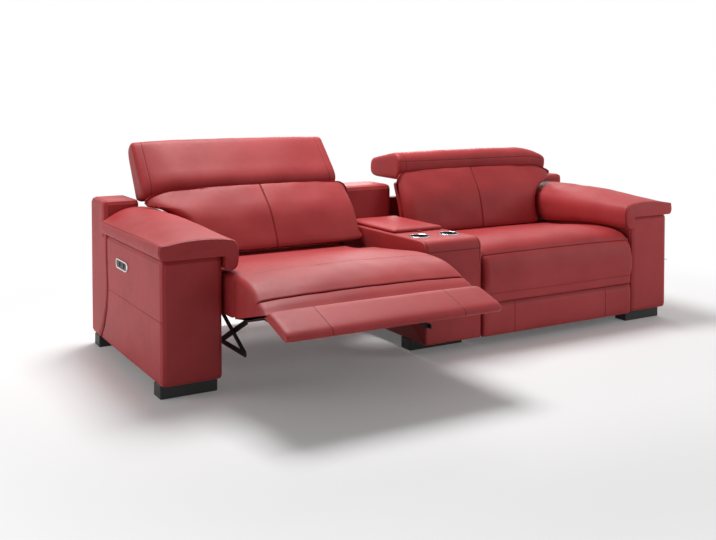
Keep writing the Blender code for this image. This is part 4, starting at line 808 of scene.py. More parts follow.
def back_cushion(word, sign):
    """A cushion's rings whose outer half is stretched along X to the shoulder's reach at its height.

    The stretch grows with a power of the distance from the middle, and the last rings sink in a little.
    """
    middle = (BACK_INNER + BACK_OUTER) / 2
    rings, mask = cushion_rings(
        smooth_track(BACK_TEMPLATE), BACK_INNER, BACK_OUTER, BACK_END_ROUND, BACK_CROWN,
        (), ((SEAT_MIDDLE, 1.0),), groove=BACK_GROOVE, seam_width=BACK_SEAM_WIDTH,
        waves=BACK_WAVES, spacing=BACK_SPACING, core=BACK_CORE,
    )
    x, y, z = rings[:, :, 0], rings[:, :, 1], rings[:, :, 2]
    level = z - (y - BACK_HINGE[0]) * SHOULDER_TILT
    heights, reaches = np.array(SHOULDER).T
    spread = np.interp(level, heights, reaches) - BACK_OUTER
    share = np.clip((x - middle) / (BACK_OUTER - middle), 0, 1)
    rings[:, :, 0] = x + spread * share ** SHOULDER_POWER
    rings[-len(SHOULDER_HOLLOW):, :, 0] -= np.array(SHOULDER_HOLLOW)[:, None]
    points = seat_points(rings, word, sign, "back")
    piece = ring_skin(word + "_back_pad", points, LEATHER, mask, zip_caps=True)
    return finished(piece, word + "_back", (word + "_back_cushion",))


for seat_word, seat_sign in SIDES:
    pad = back_cushion(seat_word, seat_sign)
    print(pad.name, len(pad.data.vertices), "points")

# %% [markdown]
# ## The outside of each back
# Behind the back board a leather panel hides the board and its legs. It is a flat template with
# eased corners, drawn straight across.

# %% Cover the boards from behind
BACK_LEAN = (0.36, 0.933)  # how far back and up the board goes for its own length
PANEL_TEMPLATE = ((0.100, 0.0072), (0.333, 0.0072), (0.333, 0.0225), (0.100, 0.0225))
PANEL_HALF = 0.396
PANEL_EASE = 0.006
PANEL_SPACING = 0.02


def lean_points(pairs):
    """Points of (along, behind) the board, as (y, z) from the hinge up its lean."""
    along, behind = np.array(pairs).T
    run, rise = BACK_LEAN
    y = BACK_HINGE[0] + run * along + rise * behind
    z = BACK_HINGE[1] + rise * along - run * behind
    return np.stack([y, z, np.zeros_like(y), np.ones_like(y)], axis=1)


for seat_word, seat_sign in SIDES:
    panel_track = eased_track(lean_points(PANEL_TEMPLATE), PANEL_EASE)
    panel_rings, panel_mask = cushion_rings(
        panel_track, SEAT_MIDDLE - PANEL_HALF, SEAT_MIDDLE + PANEL_HALF, PANEL_EASE, spacing=PANEL_SPACING,
    )
    panel_points = seat_points(panel_rings, seat_word, seat_sign, "back")
    panel = ring_skin(seat_word + "_outside_back", panel_points, LEATHER, panel_mask)
    finished(panel, seat_word + "_back", ())
    print(panel.name, len(panel.data.vertices), "points")

# %% [markdown]
# ## The headrests
# Folded, the headrest is a thick flat pad that lies over the back's top edge. Raised, the same pad
# stands up. Each end is a sewn-in panel whose seam shows a few fingers' width from the edge.

# %% Make the headrests
HEADREST_TEMPLATE = [
    (0.714, 0.6555, 0.2, 0.4), (0.694, 0.666, 0.3, 0.6), (0.681, 0.690, 0.4, 0.8),
    (0.676, 0.718, 0.5, 1.0), (0.6765, 0.742, 0.7, 1.0), (0.6835, 0.764, 0.9, 1.0),
    (0.699, 0.7815, 1.0, 1.0), (0.723, 0.7905, 1.0, 1.0), (0.756, 0.7895, 1.0, 1.0),
    (0.800, 0.7815, 1.0, 1.0), (0.860, 0.7710, 1.0, 1.0), (0.912, 0.7610, 1.0, 1.0),
    (0.940, 0.7520, 0.8, 1.0), (0.9555, 0.733, 0.6, 1.0), (0.9605, 0.709, 0.4, 1.0),
    (0.9555, 0.683, 0.3, 0.8), (0.940, 0.6655, 0.2, 0.6), (0.905, 0.6575, 0.1, 0.4),
    (0.840, 0.6560, 0.1, 0.4), (0.770, 0.6555, 0.1, 0.4),
]
HEADREST_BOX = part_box("right_headrest_pad")
HEADREST_END_ROUND = 0.017
HEADREST_CORE = ((0.722, 0.722), (0.905, 0.708))
HEADREST_CROWN = 0.007
HEADREST_WAVES = 0.0009
HEADREST_END_SEAM = 0.040
HEADREST_SEAM_DEPTH = 0.8
HEADREST_FRONT_SEAM = (0.677, 0.744, HEADREST_SEAM_DEPTH)
HEADREST_SKIN = 0.001
HEADREST_HIDDEN = (0.93, 0.70)  # in front of this and below it, the end seams aren't sewn
DROOP = 0.042  # how much lower the pad's crest is at its outer end
DROOP_LENGTH = 0.190
DROOP_BASE = 0.712
DROOP_TOP = 0.790
DROOP_POWER = 2.2


def seen_headrest(y, z):
    """Where the end seams show: over the top and down the rear."""
    return (z > HEADREST_HIDDEN[1]) | (y > HEADREST_HIDDEN[0])


def headrest(word, sign):
    """A cushion's rings whose crest sinks towards the outer end.

    The sinking is a power of the way along the droop, times the height's share between base and top.
    """
    low, high = HEADREST_BOX[0][0] + HEADREST_SKIN, HEADREST_BOX[1][0] - HEADREST_SKIN
    end_seams = tuple(
        (place, HEADREST_SEAM_DEPTH) for place in (low + HEADREST_END_SEAM, high - HEADREST_END_SEAM)
    )
    rings, mask = cushion_rings(
        smooth_track(HEADREST_TEMPLATE), low, high, HEADREST_END_ROUND, HEADREST_CROWN,
        (HEADREST_FRONT_SEAM,), end_seams, seam_on=seen_headrest, waves=HEADREST_WAVES, core=HEADREST_CORE,
    )
    share = np.clip((rings[:, :, 0] - (high - DROOP_LENGTH)) / DROOP_LENGTH, 0, 1)
    lift = np.clip((rings[:, :, 2] - DROOP_BASE) / (DROOP_TOP - DROOP_BASE), 0, 1)
    rings[:, :, 2] -= DROOP * share ** DROOP_POWER * lift
    points = seat_points(rings, word, sign, "headrest")
    piece = ring_skin(word + "_headrest_cushion", points, LEATHER, mask, zip_caps=True)
    return finished(piece, word + "_headrest", (word + "_headrest_pad",))


for seat_word, seat_sign in SIDES:
    pad = headrest(seat_word, seat_sign)
    print(pad.name, len(pad.data.vertices), "points")

# %% [markdown]
# ## The arm pads
# Each pad is a thick slab that hangs over the sitter's side of the arm and over its front. Its
# template is in X and Z and is drawn along Y. Towards the front only the part above the outer seam
# sinks, so that the front panel keeps its height. A seam runs round the front panel's upper edge.

# %% Make the arm pads
PAD_TEMPLATE = [
    (1.236, 0.5004, 0.0, 0.0), (1.255, 0.503, 0.0, 0.6), (1.2640, 0.515, 0.0, 1.0),
    (1.2635, 0.536, 0.1, 1.0), (1.254, 0.5510, 0.4, 1.0), (1.215, 0.5760, 0.9, 1.0),
    (1.170, 0.5960, 1.0, 1.0), (1.120, 0.6045, 1.0, 1.0), (1.070, 0.6010, 1.0, 1.0),
    (1.020, 0.5860, 0.8, 1.0), (0.984, 0.5600, 0.5, 1.0), (0.967, 0.5270, 0.3, 1.0),
    (0.9655, 0.4850, 0.2, 1.0), (0.9720, 0.4580, 0.0, 0.8), (0.9880, 0.4460, 0.0, 0.5),
    (1.0060, 0.4470, 0.0, 0.0), (1.0170, 0.4560, 0.0, 0.0), (1.0192, 0.4800, 0.0, 0.0),
    (1.0195, 0.4980, 0.0, 0.0), (1.0500, 0.5004, 0.0, 0.0), (1.1400, 0.5004, 0.0, 0.0),
]
PAD_FRONT = -0.021
PAD_REAR = 0.727
PAD_END_ROUND = 0.008
PAD_OUTER_SEAM = (1.256, 0.549, 1.0)
# The front seam's weight deepens its groove and darkens its painted shade, the dark line along the pad's
# front edge.
PAD_FRONT_SEAM_DEPTH = 1.6
PAD_GROOVE = 0.0012
PAD_WAVES = 0.0010
PAD_SEAM_HEIGHT = 0.5515
PAD_SINK_LENGTH = 0.42
PAD_FRONT_SINK_SHARE = 0.72
PAD_SINK_POWER = 1.6
PAD_CORNER = (1.20, 0.546)  # outside this X and about this height the front's corner is lifted
PAD_CORNER_LIFT = 0.009
PAD_CORNER_EASE = 0.020
PAD_REAR_DROPS = ((0.200, 0.0), (0.340, 0.005), (0.460, 0.017), (0.555, 0.026), (0.700, 0.028))
PAD_WRAP_OUTER = 1.0195  # the part on the sitter's side, whose lower edge drops towards the rear
PAD_WRAP_TOP = 0.500
PAD_WRAP_EASE = 0.050
PAD_STANDOFF = 0.0004
PAD_SIDE_GAP = 0.0006
PAD_SEEN = (1.01, 0.53, 0.52)  # within this X up to a height, and anywhere above the other height


def above_pad_base(x, z):
    """Where the front seam shows: on the sitter's side, and above the pad's base."""
    return (x < PAD_SEEN[0]) & (z < PAD_SEEN[1]) | (z > PAD_SEEN[2])


def arm_pad(word, sign):
    """A cushion's rings drawn along Y, lowered where the real pad is lower.

    Above the seam the height is shrunk by a share that grows with a power of the nearness to the front.
    The wrap's lower edge drops by a table of lengths, and the base rests on the arm's top and side.
    """
    rings, mask = cushion_rings(
        smooth_track(PAD_TEMPLATE), PAD_FRONT, PAD_REAR, PAD_END_ROUND, 0.0, (PAD_OUTER_SEAM,),
        ((PAD_FRONT + PAD_END_ROUND, PAD_FRONT_SEAM_DEPTH),), seam_on=above_pad_base, waves=PAD_WAVES,
        groove=PAD_GROOVE,
    )
    along, x, z = rings[:, :, 0], rings[:, :, 1], rings[:, :, 2]
    near = np.clip(1 - (along - PAD_FRONT) / PAD_SINK_LENGTH, 0, 1)
    sink = 1 - PAD_FRONT_SINK_SHARE * near ** PAD_SINK_POWER
    places, drops = np.array(PAD_REAR_DROPS).T
    inner = (x < PAD_WRAP_OUTER) * np.clip((PAD_WRAP_TOP - z) / PAD_WRAP_EASE, 0, 1)
    z = z - np.interp(along, places, drops) * inner
    corner = np.clip(1 - np.abs(z - PAD_CORNER[1]) / PAD_CORNER_EASE, 0, 1) * (x > PAD_CORNER[0])
    z = z + PAD_CORNER_LIFT * near * corner
    base = ARM_TOP + PAD_STANDOFF
    z = np.where(z > PAD_SEAM_HEIGHT, PAD_SEAM_HEIGHT + (z - PAD_SEAM_HEIGHT) * sink, z)
    x = np.where(z < base, np.minimum(x, ARM_INNER - PAD_SIDE_GAP), x)
    z = np.where((x > ARM_INNER) & (z < base), base, z)
    points = np.stack([sign * x, along + FRONT_Y, z], axis=-1)
    piece = ring_skin(word + "_arm_cushion", points, LEATHER, mask)
    return finished(piece, "sofa_base", (word + "_arm_pad",))


for seat_word, seat_sign in SIDES:
    pad = arm_pad(seat_word, seat_sign)
    print(pad.name, len(pad.data.vertices), "points")

# %% [markdown]
# ## Seams on the arms
# The arm's side is sewn from three pieces. A curved seam parts the arm from the back post, and a
# level seam crosses the side below its middle. Each is a raised line of folded hide, so a thin tube
# along the seam, sunk to half its thickness, gives both the line and its shade, and the tube's
# colour is darkened by a painted shade as well.

# %% A tube along a line of points
def tube_rings(path, radius, side, count=8):
    """Circles of a radius round each point of a path, standing square to it, with side as one axis."""
    path = np.asarray(path, float)
    tangent = np.gradient(path, axis=0)
    tangent /= np.linalg.norm(tangent, axis=1, keepdims=True)
    side = np.asarray(side, float)[None, :]
    other = np.cross(tangent, side)
    other /= np.linalg.norm(other, axis=1, keepdims=True)
    turn = np.linspace(0, 2 * pi, count, endpoint=False)[None, :, None]
    return path[:, None] + radius * (np.cos(turn) * side[:, None] + np.sin(turn) * other[:, None])


def through(points, steps=14):
    """An open smooth line through a few points: the closed curve's spans without the last one."""
    return smooth_track(points, steps)[: (len(points) - 1) * steps + 1]


# %% Sew the arms' side seams
SIDE_SEAM = ((0.691, 0.4960), (0.6835, 0.390), (0.676, 0.288), (0.700, 0.190), (0.776, 0.0720))
LEVEL_SEAM = ((0.016, 0.2800), (0.200, 0.2805), (0.450, 0.2812), (0.672, 0.2820))
# How far each seam's tube is darkened towards the fold's painted shade.
LEVEL_SEAM_SHADE_SHARE = 0.15
ARM_SEAMS = (("upright", SIDE_SEAM, SEAM_SHADE_SHARE), ("level", LEVEL_SEAM, LEVEL_SEAM_SHADE_SHARE))
SEAM_RADIUS = 0.0013

for seat_word, seat_sign in SIDES:
    for seam_name, seam_line, shade in ARM_SEAMS:
        line = through(seam_line)
        side_x = np.full(len(line), seat_sign * ARM_OUTER)
        path = np.stack([side_x, line[:, 0] + FRONT_Y, line[:, 1]], axis=1)
        rings = tube_rings(path, SEAM_RADIUS, (1.0, 0.0, 0.0))
        dark = np.full(rings.shape[:2], shade)
        seam = ring_skin("%s_%s_seam" % (seat_word, seam_name), rings, LEATHER, dark)
        finished(seam, "sofa_base")
        print(seam.name, len(seam.data.vertices), "points")

# %% [markdown]
# ## The console
# One leather body covers the console's box and its top. Its template is its side view, drawn
# straight across. Seams run along both upper side edges and turn down the front to a level seam. The
# hollow, the cup holes and the mouth of the storage box are then cut out of the solid.

# %% Draw the console's body and cut it
CONSOLE_CORNERS = (
    (0.0, COVER_FOOT, 0.0, 1.0), (0.0, CONSOLE_TOP, 0.0, 1.0),
    (CONSOLE_REAR, CONSOLE_TOP, 0.0, 1.0), (CONSOLE_REAR, COVER_FOOT, 0.0, 1.0),
)
CONSOLE_EASES = (0.010, 0.046, 0.010, 0.006)
CONSOLE_END_ROUND = 0.009
CONSOLE_EDGE_SEAM = 0.131
CONSOLE_FRONT_SEAM = 0.370
CONSOLE_WALL = 0.020
DECK_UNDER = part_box("console_deck")[0][2]
CUP_PLACES = (("left", -0.075, 0.145), ("right", 0.075, 0.145))
CUP_HOLE = 0.0425
BIN_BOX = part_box("storage_bin")
MOUTH_STEP = 0.012
CUT_OVERRUN = 0.01
EDGE_SEAM_REAR = CONSOLE_REAR - 0.02
CONSOLE_GROOVE = 0.0010


def on_console_edge(y, z):
    """Where the side edges' seams show: over the top, and down the front to the level seam."""
    return (z > CONSOLE_FRONT_SEAM) & (y < EDGE_SEAM_REAR)


def block_rings(low, high):
    """A plain box as two square rings, for cutting with."""
    (x0, y0, z0), (x1, y1, z1) = low, high
    square = np.array([(y0, z0), (y1, z0), (y1, z1), (y0, z1)])
    return np.stack([np.insert(square, 0, x, axis=1) for x in (x0, x1)])


def cylinder_rings(centre, radius, low, high, count=64):
    """A plain upright cylinder as two circles, for cutting with."""
    turn = np.linspace(0, 2 * pi, count, endpoint=False)
    circle = np.stack([centre[0] + radius * np.cos(turn), centre[1] + radius * np.sin(turn)], axis=1)
    return np.stack([np.insert(circle, 2, z, axis=1) for z in (low, high)])


def cut_from(piece, cutters):
    """Take each cutter's solid out of a piece, and keep the result as the piece's own mesh."""
    for cutter in cutters:
        hole = piece.modifiers.new("hole", "BOOLEAN")
        hole.object = cutter
        hole.operation = "DIFFERENCE"
        hole.solver = "EXACT"
    seen = bpy.context.evaluated_depsgraph_get()
    cut_mesh = bpy.data.meshes.new_from_object(piece.evaluated_get(seen))
    piece.modifiers.clear()
    piece.data = cut_mesh
    for cutter in cutters:
        bpy.data.objects.remove(cutter)
    cut_mesh.shade_smooth()
    cut_mesh.set_sharp_from_angle(angle=SHARP_ANGLE)


# %% The console's body
def console_body():
    """The side view drawn straight across, less a hollow, a mouth and two cup holes."""
    rings, mask = cushion_rings(
        eased_track(CONSOLE_CORNERS, CONSOLE_EASES), -CONSOLE_HALF, CONSOLE_HALF, CONSOLE_END_ROUND, 0.0,
        ((0.0, CONSOLE_FRONT_SEAM, 1.0),), ((-CONSOLE_EDGE_SEAM, 1.0), (CONSOLE_EDGE_SEAM, 1.0)),
        seam_on=on_console_edge, groove=CONSOLE_GROOVE,
    )
    rings[:, :, 1] += FRONT_Y
    body = ring_skin("console_body", rings, LEATHER, mask)
    wall_x, wall_front = CONSOLE_HALF - CONSOLE_WALL, FRONT_Y + CONSOLE_WALL
    wall_rear = FRONT_Y + CONSOLE_REAR - CONSOLE_WALL
    below, above = DECK_UNDER - CUT_OVERRUN, CONSOLE_TOP + CUT_OVERRUN
    hollow = block_rings((-wall_x, wall_front, COVER_FOOT - CUT_OVERRUN), (wall_x, wall_rear, DECK_UNDER))
    mouth = block_rings(
        (BIN_BOX[0][0] + MOUTH_STEP, BIN_BOX[0][1] + MOUTH_STEP, below),
        (BIN_BOX[1][0] - MOUTH_STEP, BIN_BOX[1][1] - MOUTH_STEP, above),
    )
    cutters = [ring_skin("hollow_cutter", hollow, LEATHER), ring_skin("mouth_cutter", mouth, LEATHER)]
    for word, x, y in CUP_PLACES:
        hole = cylinder_rings((x, FRONT_Y + y), CUP_HOLE, below, above)
        cutters.append(ring_skin(word + "_cup_cutter", hole, LEATHER))
    cut_from(body, cutters)
    return finished(body, "sofa_base", ("console_shell", "console_deck"))


print(console_body().name, "cut")

# %% [markdown]
# ## The cup holders
# Each holder is a cup turned from bright metal with a rolled rim, so its profile is spun round an
# upright axis. A black liner inside keeps the cup from rattling and makes the hole look deep.

# %% Turn the cups and their liners
CUP_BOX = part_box("cup_holder_left")
CUP_RIM = CUP_BOX[1][0] - (CUP_BOX[0][0] + CUP_BOX[1][0]) / 2
CUP_FLOOR = CUP_BOX[0][2]
CUP_WALL_OUT = 0.0414
CUP_WALL_IN = 0.0398
LINER_WALL = 0.0012
CUP_PROFILE = (  # radius and height, from the middle of the floor out, up, over the rim and back down
    (TINY, CUP_FLOOR), (0.036, CUP_FLOOR), (0.0400, CUP_FLOOR + 0.001),
    (CUP_WALL_OUT, CUP_FLOOR + 0.005), (CUP_WALL_OUT, CONSOLE_TOP + 0.0002),
    (CUP_RIM - 0.0006, CONSOLE_TOP + 0.0003), (CUP_RIM, CONSOLE_TOP + 0.0012),
    (CUP_RIM - 0.0006, CONSOLE_TOP + 0.0026), (CUP_RIM - 0.0014, CONSOLE_TOP + 0.0032),
    (CUP_RIM - 0.0024, CONSOLE_TOP + 0.0026), (CUP_RIM - 0.0028, CONSOLE_TOP + 0.0012),
    (CUP_WALL_IN, CONSOLE_TOP + 0.0010),
    (CUP_WALL_IN, CUP_FLOOR + 0.0050), (0.0385, CUP_FLOOR + 0.0026), (0.035, CUP_FLOOR + 0.0016),
    (TINY, CUP_FLOOR + 0.0016),
)
LINER_OUT = CUP_WALL_IN - 0.0002
LINER_TOP = CONSOLE_TOP + 0.0022
LINER_LIP = CUP_RIM - 0.0030
LINER_PROFILE = (  # the same way round, inside the cup, with a lip that covers the inner half of the rim
    (TINY, CUP_FLOOR + 0.0018), (0.034, CUP_FLOOR + 0.0018), (0.0382, CUP_FLOOR + 0.0032),
    (LINER_OUT, CUP_FLOOR + 0.0060), (LINER_OUT, LINER_TOP - 0.0008), (LINER_LIP, LINER_TOP - 0.0008),
    (LINER_LIP, LINER_TOP), (LINER_OUT - LINER_WALL / 2, LINER_TOP),
    (LINER_OUT - LINER_WALL, LINER_TOP), (LINER_OUT - LINER_WALL, CUP_FLOOR + 0.0060),
    (0.0365, CUP_FLOOR + 0.0040), (TINY, CUP_FLOOR + 0.0034),
)


def spun_rings(profile, centre, count=72):
    """A profile of (radius, height) rows spun round an upright axis: one circle for each row."""
    radius, height = np.array(profile).T
    turn = np.linspace(0, 2 * pi, count, endpoint=False)[None, :]
    x = centre[0] + radius[:, None] * np.cos(turn)
    y = centre[1] + radius[:, None] * np.sin(turn)
    return np.stack([x, y, np.broadcast_to(height[:, None], x.shape)], axis=-1)


for cup_word, cup_x, cup_y in CUP_PLACES:
    place = (cup_x, FRONT_Y + cup_y)
    cup = ring_skin(cup_word + "_cup", spun_rings(CUP_PROFILE, place), CHROME)
    finished(cup, "sofa_base", ("cup_holder_" + cup_word,))
    liner = ring_skin(cup_word + "_cup_liner", spun_rings(LINER_PROFILE, place), PLASTIC)
    finished(liner, "sofa_base")
    print(cup.name, "rim radius %.4f" % CUP_RIM)

# %% [markdown]
# ## The console's lid
# A thin padded lid with soft edges lies on the deck, hinged at its rear. Its plan is a rectangle with
# round corners, and a stack of such rectangles, each drawn in a little more, gives the pillow top. A
# small leather tab at the front edge lifts it.

# %% Stacked plans, and the lid
LID_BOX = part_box("console_lid")
LID_CORNER = 0.016
LID_SKIN = 0.0006
CORNER_SHRINK_SHARE = 0.3  # of what a plan is drawn in, the part that its corners lose
LEAST_CORNER_SHARE = 0.4
LID_LEVELS = (  # how far drawn in, and the share of the lid's height
    (0.0030, 0.00), (0.0008, 0.10), (0.0000, 0.28), (0.0004, 0.46), (0.0030, 0.62), (0.0080, 0.74),
    (0.0170, 0.84), (0.0330, 0.92), (0.0600, 0.975), (0.0900, 0.995), (0.1180, 1.00),
)


def rounded_plan(half_x, half_y, corner, count=9):
    """Points round a rectangle about the origin: four corners, each a quarter circle in from its own."""
    turn = np.linspace(0, pi / 2, count)
    signs = np.array([(1, 1), (-1, 1), (-1, -1), (1, -1)], float)
    angle = turn[None, :] + np.arange(4)[:, None] * pi / 2
    x = signs[:, :1] * (half_x - corner) + corner * np.cos(angle)
    y = signs[:, 1:] * (half_y - corner) + corner * np.sin(angle)
    return np.stack([x.reshape(-1), y.reshape(-1)], axis=1)


def stacked_rings(low, high, corner, levels):
    """Rounded rectangles between two heights, each drawn in by its level and lifted to its share."""
    middle = [(a + b) / 2 for a, b in zip(low, high)]
    half_x, half_y = (high[0] - low[0]) / 2, (high[1] - low[1]) / 2
    rings = []
    for drawn, share in levels:
        round_corner = max(corner - drawn * CORNER_SHRINK_SHARE, corner * LEAST_CORNER_SHARE)
        plan = rounded_plan(half_x - drawn, half_y - drawn, round_corner)
        height = np.full(len(plan), low[2] + (high[2] - low[2]) * share)
        rings.append(np.column_stack([plan[:, 0] + middle[0], plan[:, 1] + middle[1], height]))
    return np.stack(rings)


lid_low = (LID_BOX[0][0], LID_BOX[0][1], LID_BOX[0][2] + LID_SKIN)
lid = ring_skin("lid_pad", stacked_rings(lid_low, LID_BOX[1], LID_CORNER, LID_LEVELS), LEATHER)
finished(lid, "console_lid_flap", ("console_lid",))
print(lid.name, len(lid.data.vertices), "points")

# %% The lid's tab
TAB_HALF = 0.011
TAB_REACH = 0.012
TAB_ROOT = 0.010
TAB_UNDER = 0.0022
TAB_TOP = 0.0048
TAB_CORNER = 0.004
TAB_LEVELS = ((0.0006, 0.0), (0.0, 0.3), (0.0, 0.7), (0.0006, 1.0))
tab_low = (-TAB_HALF, LID_BOX[0][1] - TAB_REACH, lid_low[2] + TAB_UNDER)
tab_high = (TAB_HALF, LID_BOX[0][1] + TAB_ROOT, lid_low[2] + TAB_TOP)
tab = ring_skin("lid_tab", stacked_rings(tab_low, tab_high, TAB_CORNER, TAB_LEVELS), LEATHER)
finished(tab, "console_lid_flap")
print(tab.name, len(tab.data.vertices), "points")

# %% [markdown]
# ## The switches
# Each arm has a black switch plate in a bright rounded frame. The frame is a flat ring: a rounded
# rectangle outside, the same rectangle drawn in for the inside, and a raised rim between them.

# %% Frame the switch plates
FRAME_RISE = 0.0010
FRAME_WIDTH = 0.0042
FRAME_OVER = 0.0016
FRAME_EDGE = 0.0010
FRAME_ROOT_GAP = 0.0003
FRAME_CORNER_SHARE = 0.86
FRAME_STEPS = (  # how far beyond the plate's edge, and the share of the way from the arm to the rim's top
    (FRAME_OVER, 0.0), (FRAME_OVER, 0.6), (FRAME_OVER - FRAME_EDGE, 1.0),
    (-FRAME_WIDTH + FRAME_EDGE, 1.0), (-FRAME_WIDTH, 0.75), (-FRAME_WIDTH, 0.45),
)


def switch_frame(word, sign):
    """A closed band of rounded rectangles round the plate's edge, in Y and Z, stacked along X."""
    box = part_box(word + "_switch_plate")
    middle_y, middle_z = (box[0][1] + box[1][1]) / 2, (box[0][2] + box[1][2]) / 2
    half_y, half_z = (box[1][1] - box[0][1]) / 2, (box[1][2] - box[0][2]) / 2
    corner = half_z * FRAME_CORNER_SHARE
    face = box[1][0] if sign > 0 else box[0][0]
    root = sign * (ARM_OUTER + FRAME_ROOT_GAP)
    loops = []
    for reach, rise in FRAME_STEPS:
        plan = rounded_plan(half_y + reach, half_z + reach, corner + reach)
        x = root + (face + sign * FRAME_RISE - root) * rise
        loops.append(np.column_stack([np.full(len(plan), x), plan[:, 0] + middle_y, plan[:, 1] + middle_z]))
    count = len(loops[0])
    index = np.arange(len(loops) * count).reshape(len(loops), count)
    beyond = np.roll(index, -1, axis=0)
    quads = np.stack([index, np.roll(index, -1, axis=1), np.roll(beyond, -1, axis=1), beyond], axis=-1)
    quads = quads.reshape(-1, 4)
    points = np.stack(loops).reshape(-1, 3)
    triangles = np.concatenate([quads[:, [0, 1, 2]], quads[:, [0, 2, 3]]])
    if signed_volume(points - points.mean(axis=0), triangles) < 0:
        quads = quads[:, ::-1]
    piece = mesh_object(word + "_switch_frame", points, quads.tolist(), CHROME)
    return finished(piece, "sofa_base")


for seat_word, seat_sign in SIDES:
    print(switch_frame(seat_word, seat_sign).name)

# %% [markdown]
# ## Under the seats
# A black cloth lining closes the back of each leg panel. Below the seat, crossed flat steel bars
# hang from the seat's frame. They are stamped from strip, so each is drawn with round ends and
# eased edges.

# %% Line the leg panels
LINING_CORNERS = (
    (0.0176, 0.1050, 0.0, 1.0), (0.0329, 0.1050, 0.0, 1.0),
    (0.0329, 0.3585, 0.0, 1.0), (0.0176, 0.3585, 0.0, 1.0),
)
LINING_HALF = 0.4015
LINING_EASE = 0.003
LINING_SPACING = 0.03

for seat_word, seat_sign in SIDES:
    lining_rings, lining_mask = cushion_rings(
        eased_track(LINING_CORNERS, LINING_EASE), SEAT_MIDDLE - LINING_HALF, SEAT_MIDDLE + LINING_HALF,
        LINING_EASE, spacing=LINING_SPACING,
    )
    lining_points = seat_points(lining_rings, seat_word, seat_sign, "legrest")
    lining = ring_skin(seat_word + "_leg_lining", lining_points, LINING, lining_mask)
    finished(lining, seat_word + "_legrest", (seat_word + "_legrest_board",))
    print(lining.name)

# %% Strips of steel under the seats
STRIPS = (  # name, first end, second end as (y, z), width, near and far side from the seat's middle
    ("front_brace", (0.125, 0.268), (0.345, 0.158), 0.022, 0.3800, 0.3845),
    ("rear_brace", (0.125, 0.158), (0.345, 0.268), 0.022, 0.3870, 0.3915),
    ("lower_bar", (0.105, 0.158), (0.365, 0.158), 0.020, 0.3940, 0.3985),
)
STRIP_EASE = 0.0012
STRIP_END_SHARE = 0.49  # of a strip's width, the radius of its ends
STRIP_SPACING = 0.02


def strip_corners(first, second, width):
    """The four corners of a straight strip, half its width beyond and beside two places in (y, z)."""
    first, second = np.array(first), np.array(second)
    ahead = (second - first) / np.linalg.norm(second - first)
    across = np.array([-ahead[1], ahead[0]]) * width / 2
    ahead = ahead * width / 2
    low, high = first - ahead, second + ahead
    corners = np.array([low - across, high - across, high + across, low + across])
    return np.column_stack([corners, np.zeros(4), np.ones(4)])


for seat_word, seat_sign in SIDES:
    for strip_name, first_end, second_end, strip_width, near_side, far_side in STRIPS:
        for side_name, side in (("arm", 1), ("console", -1)):
            low, high = sorted((SEAT_MIDDLE + side * near_side, SEAT_MIDDLE + side * far_side))
            corners = strip_corners(first_end, second_end, strip_width)
            track = eased_track(corners, strip_width * STRIP_END_SHARE)
            strip_rings = cushion_rings(track, low, high, STRIP_EASE, spacing=STRIP_SPACING)[0]
            strip_points = seat_points(strip_rings, seat_word, seat_sign, "seat")
            strip = ring_skin("%s_%s_%s" % (seat_word, side_name, strip_name), strip_points, STEEL)
            finished(strip, seat_word + "_seat")
print("strips", len(STRIPS) * 4)

# %% [markdown]
# ## The studio
# A pale floor runs out into a white room. Near the sofa it is a matt floor that takes the shadow, with
# a tenth of plain white painted over it for the camera and reflections, which lightens the shadow.
# Further out, only as seen by the camera and in reflections, it fades to plain white.

# %% What only the camera and reflections see
WHITE = (1.0, 1.0, 1.0, 1.0)


def seen_plainly(tree):
    """One for a ray from the camera, or that metal or glass sends on, and none for light and shadow."""
    rays = tree.nodes.new("ShaderNodeLightPath")
    seen = rays.outputs["Is Camera Ray"]
    for kind in ("Is Glossy Ray", "Is Transmission Ray"):
        either = tree.nodes.new("ShaderNodeMath")
        either.operation = "MAXIMUM"
        tree.links.new(seen, either.inputs[0])
        tree.links.new(rays.outputs[kind], either.inputs[1])
        seen = either.outputs["Value"]
    return seen


def mixed(tree, share, first, second, end):
    """Send two shaders, mixed by a share, to the end node of a tree."""
    blend = tree.nodes.new("ShaderNodeMixShader")
    tree.links.new(share, blend.inputs["Fac"])
    tree.links.new(first, blend.inputs[1])
    tree.links.new(second, blend.inputs[2])
    tree.links.new(blend.outputs["Shader"], tree.nodes[end].inputs["Surface"])


# %% Floor
FLOOR_CORNERS = ((-12.0, -9.0, 0.0), (12.0, -9.0, 0.0), (12.0, 12.0, 0.0), (-12.0, 12.0, 0.0))
FLOOR_COLOUR = (0.92, 0.915, 0.918, 1.0)
FLOOR_ROUGHNESS = 0.6
FLOOR_SHINE = 0.25
FADE_START = 1.3
FADE_END = 2.6
# A tenth of plain white painted over the floor near the sofa, for the camera and reflections, which
# lightens its shadow.
FLOOR_GLOW = 0.10


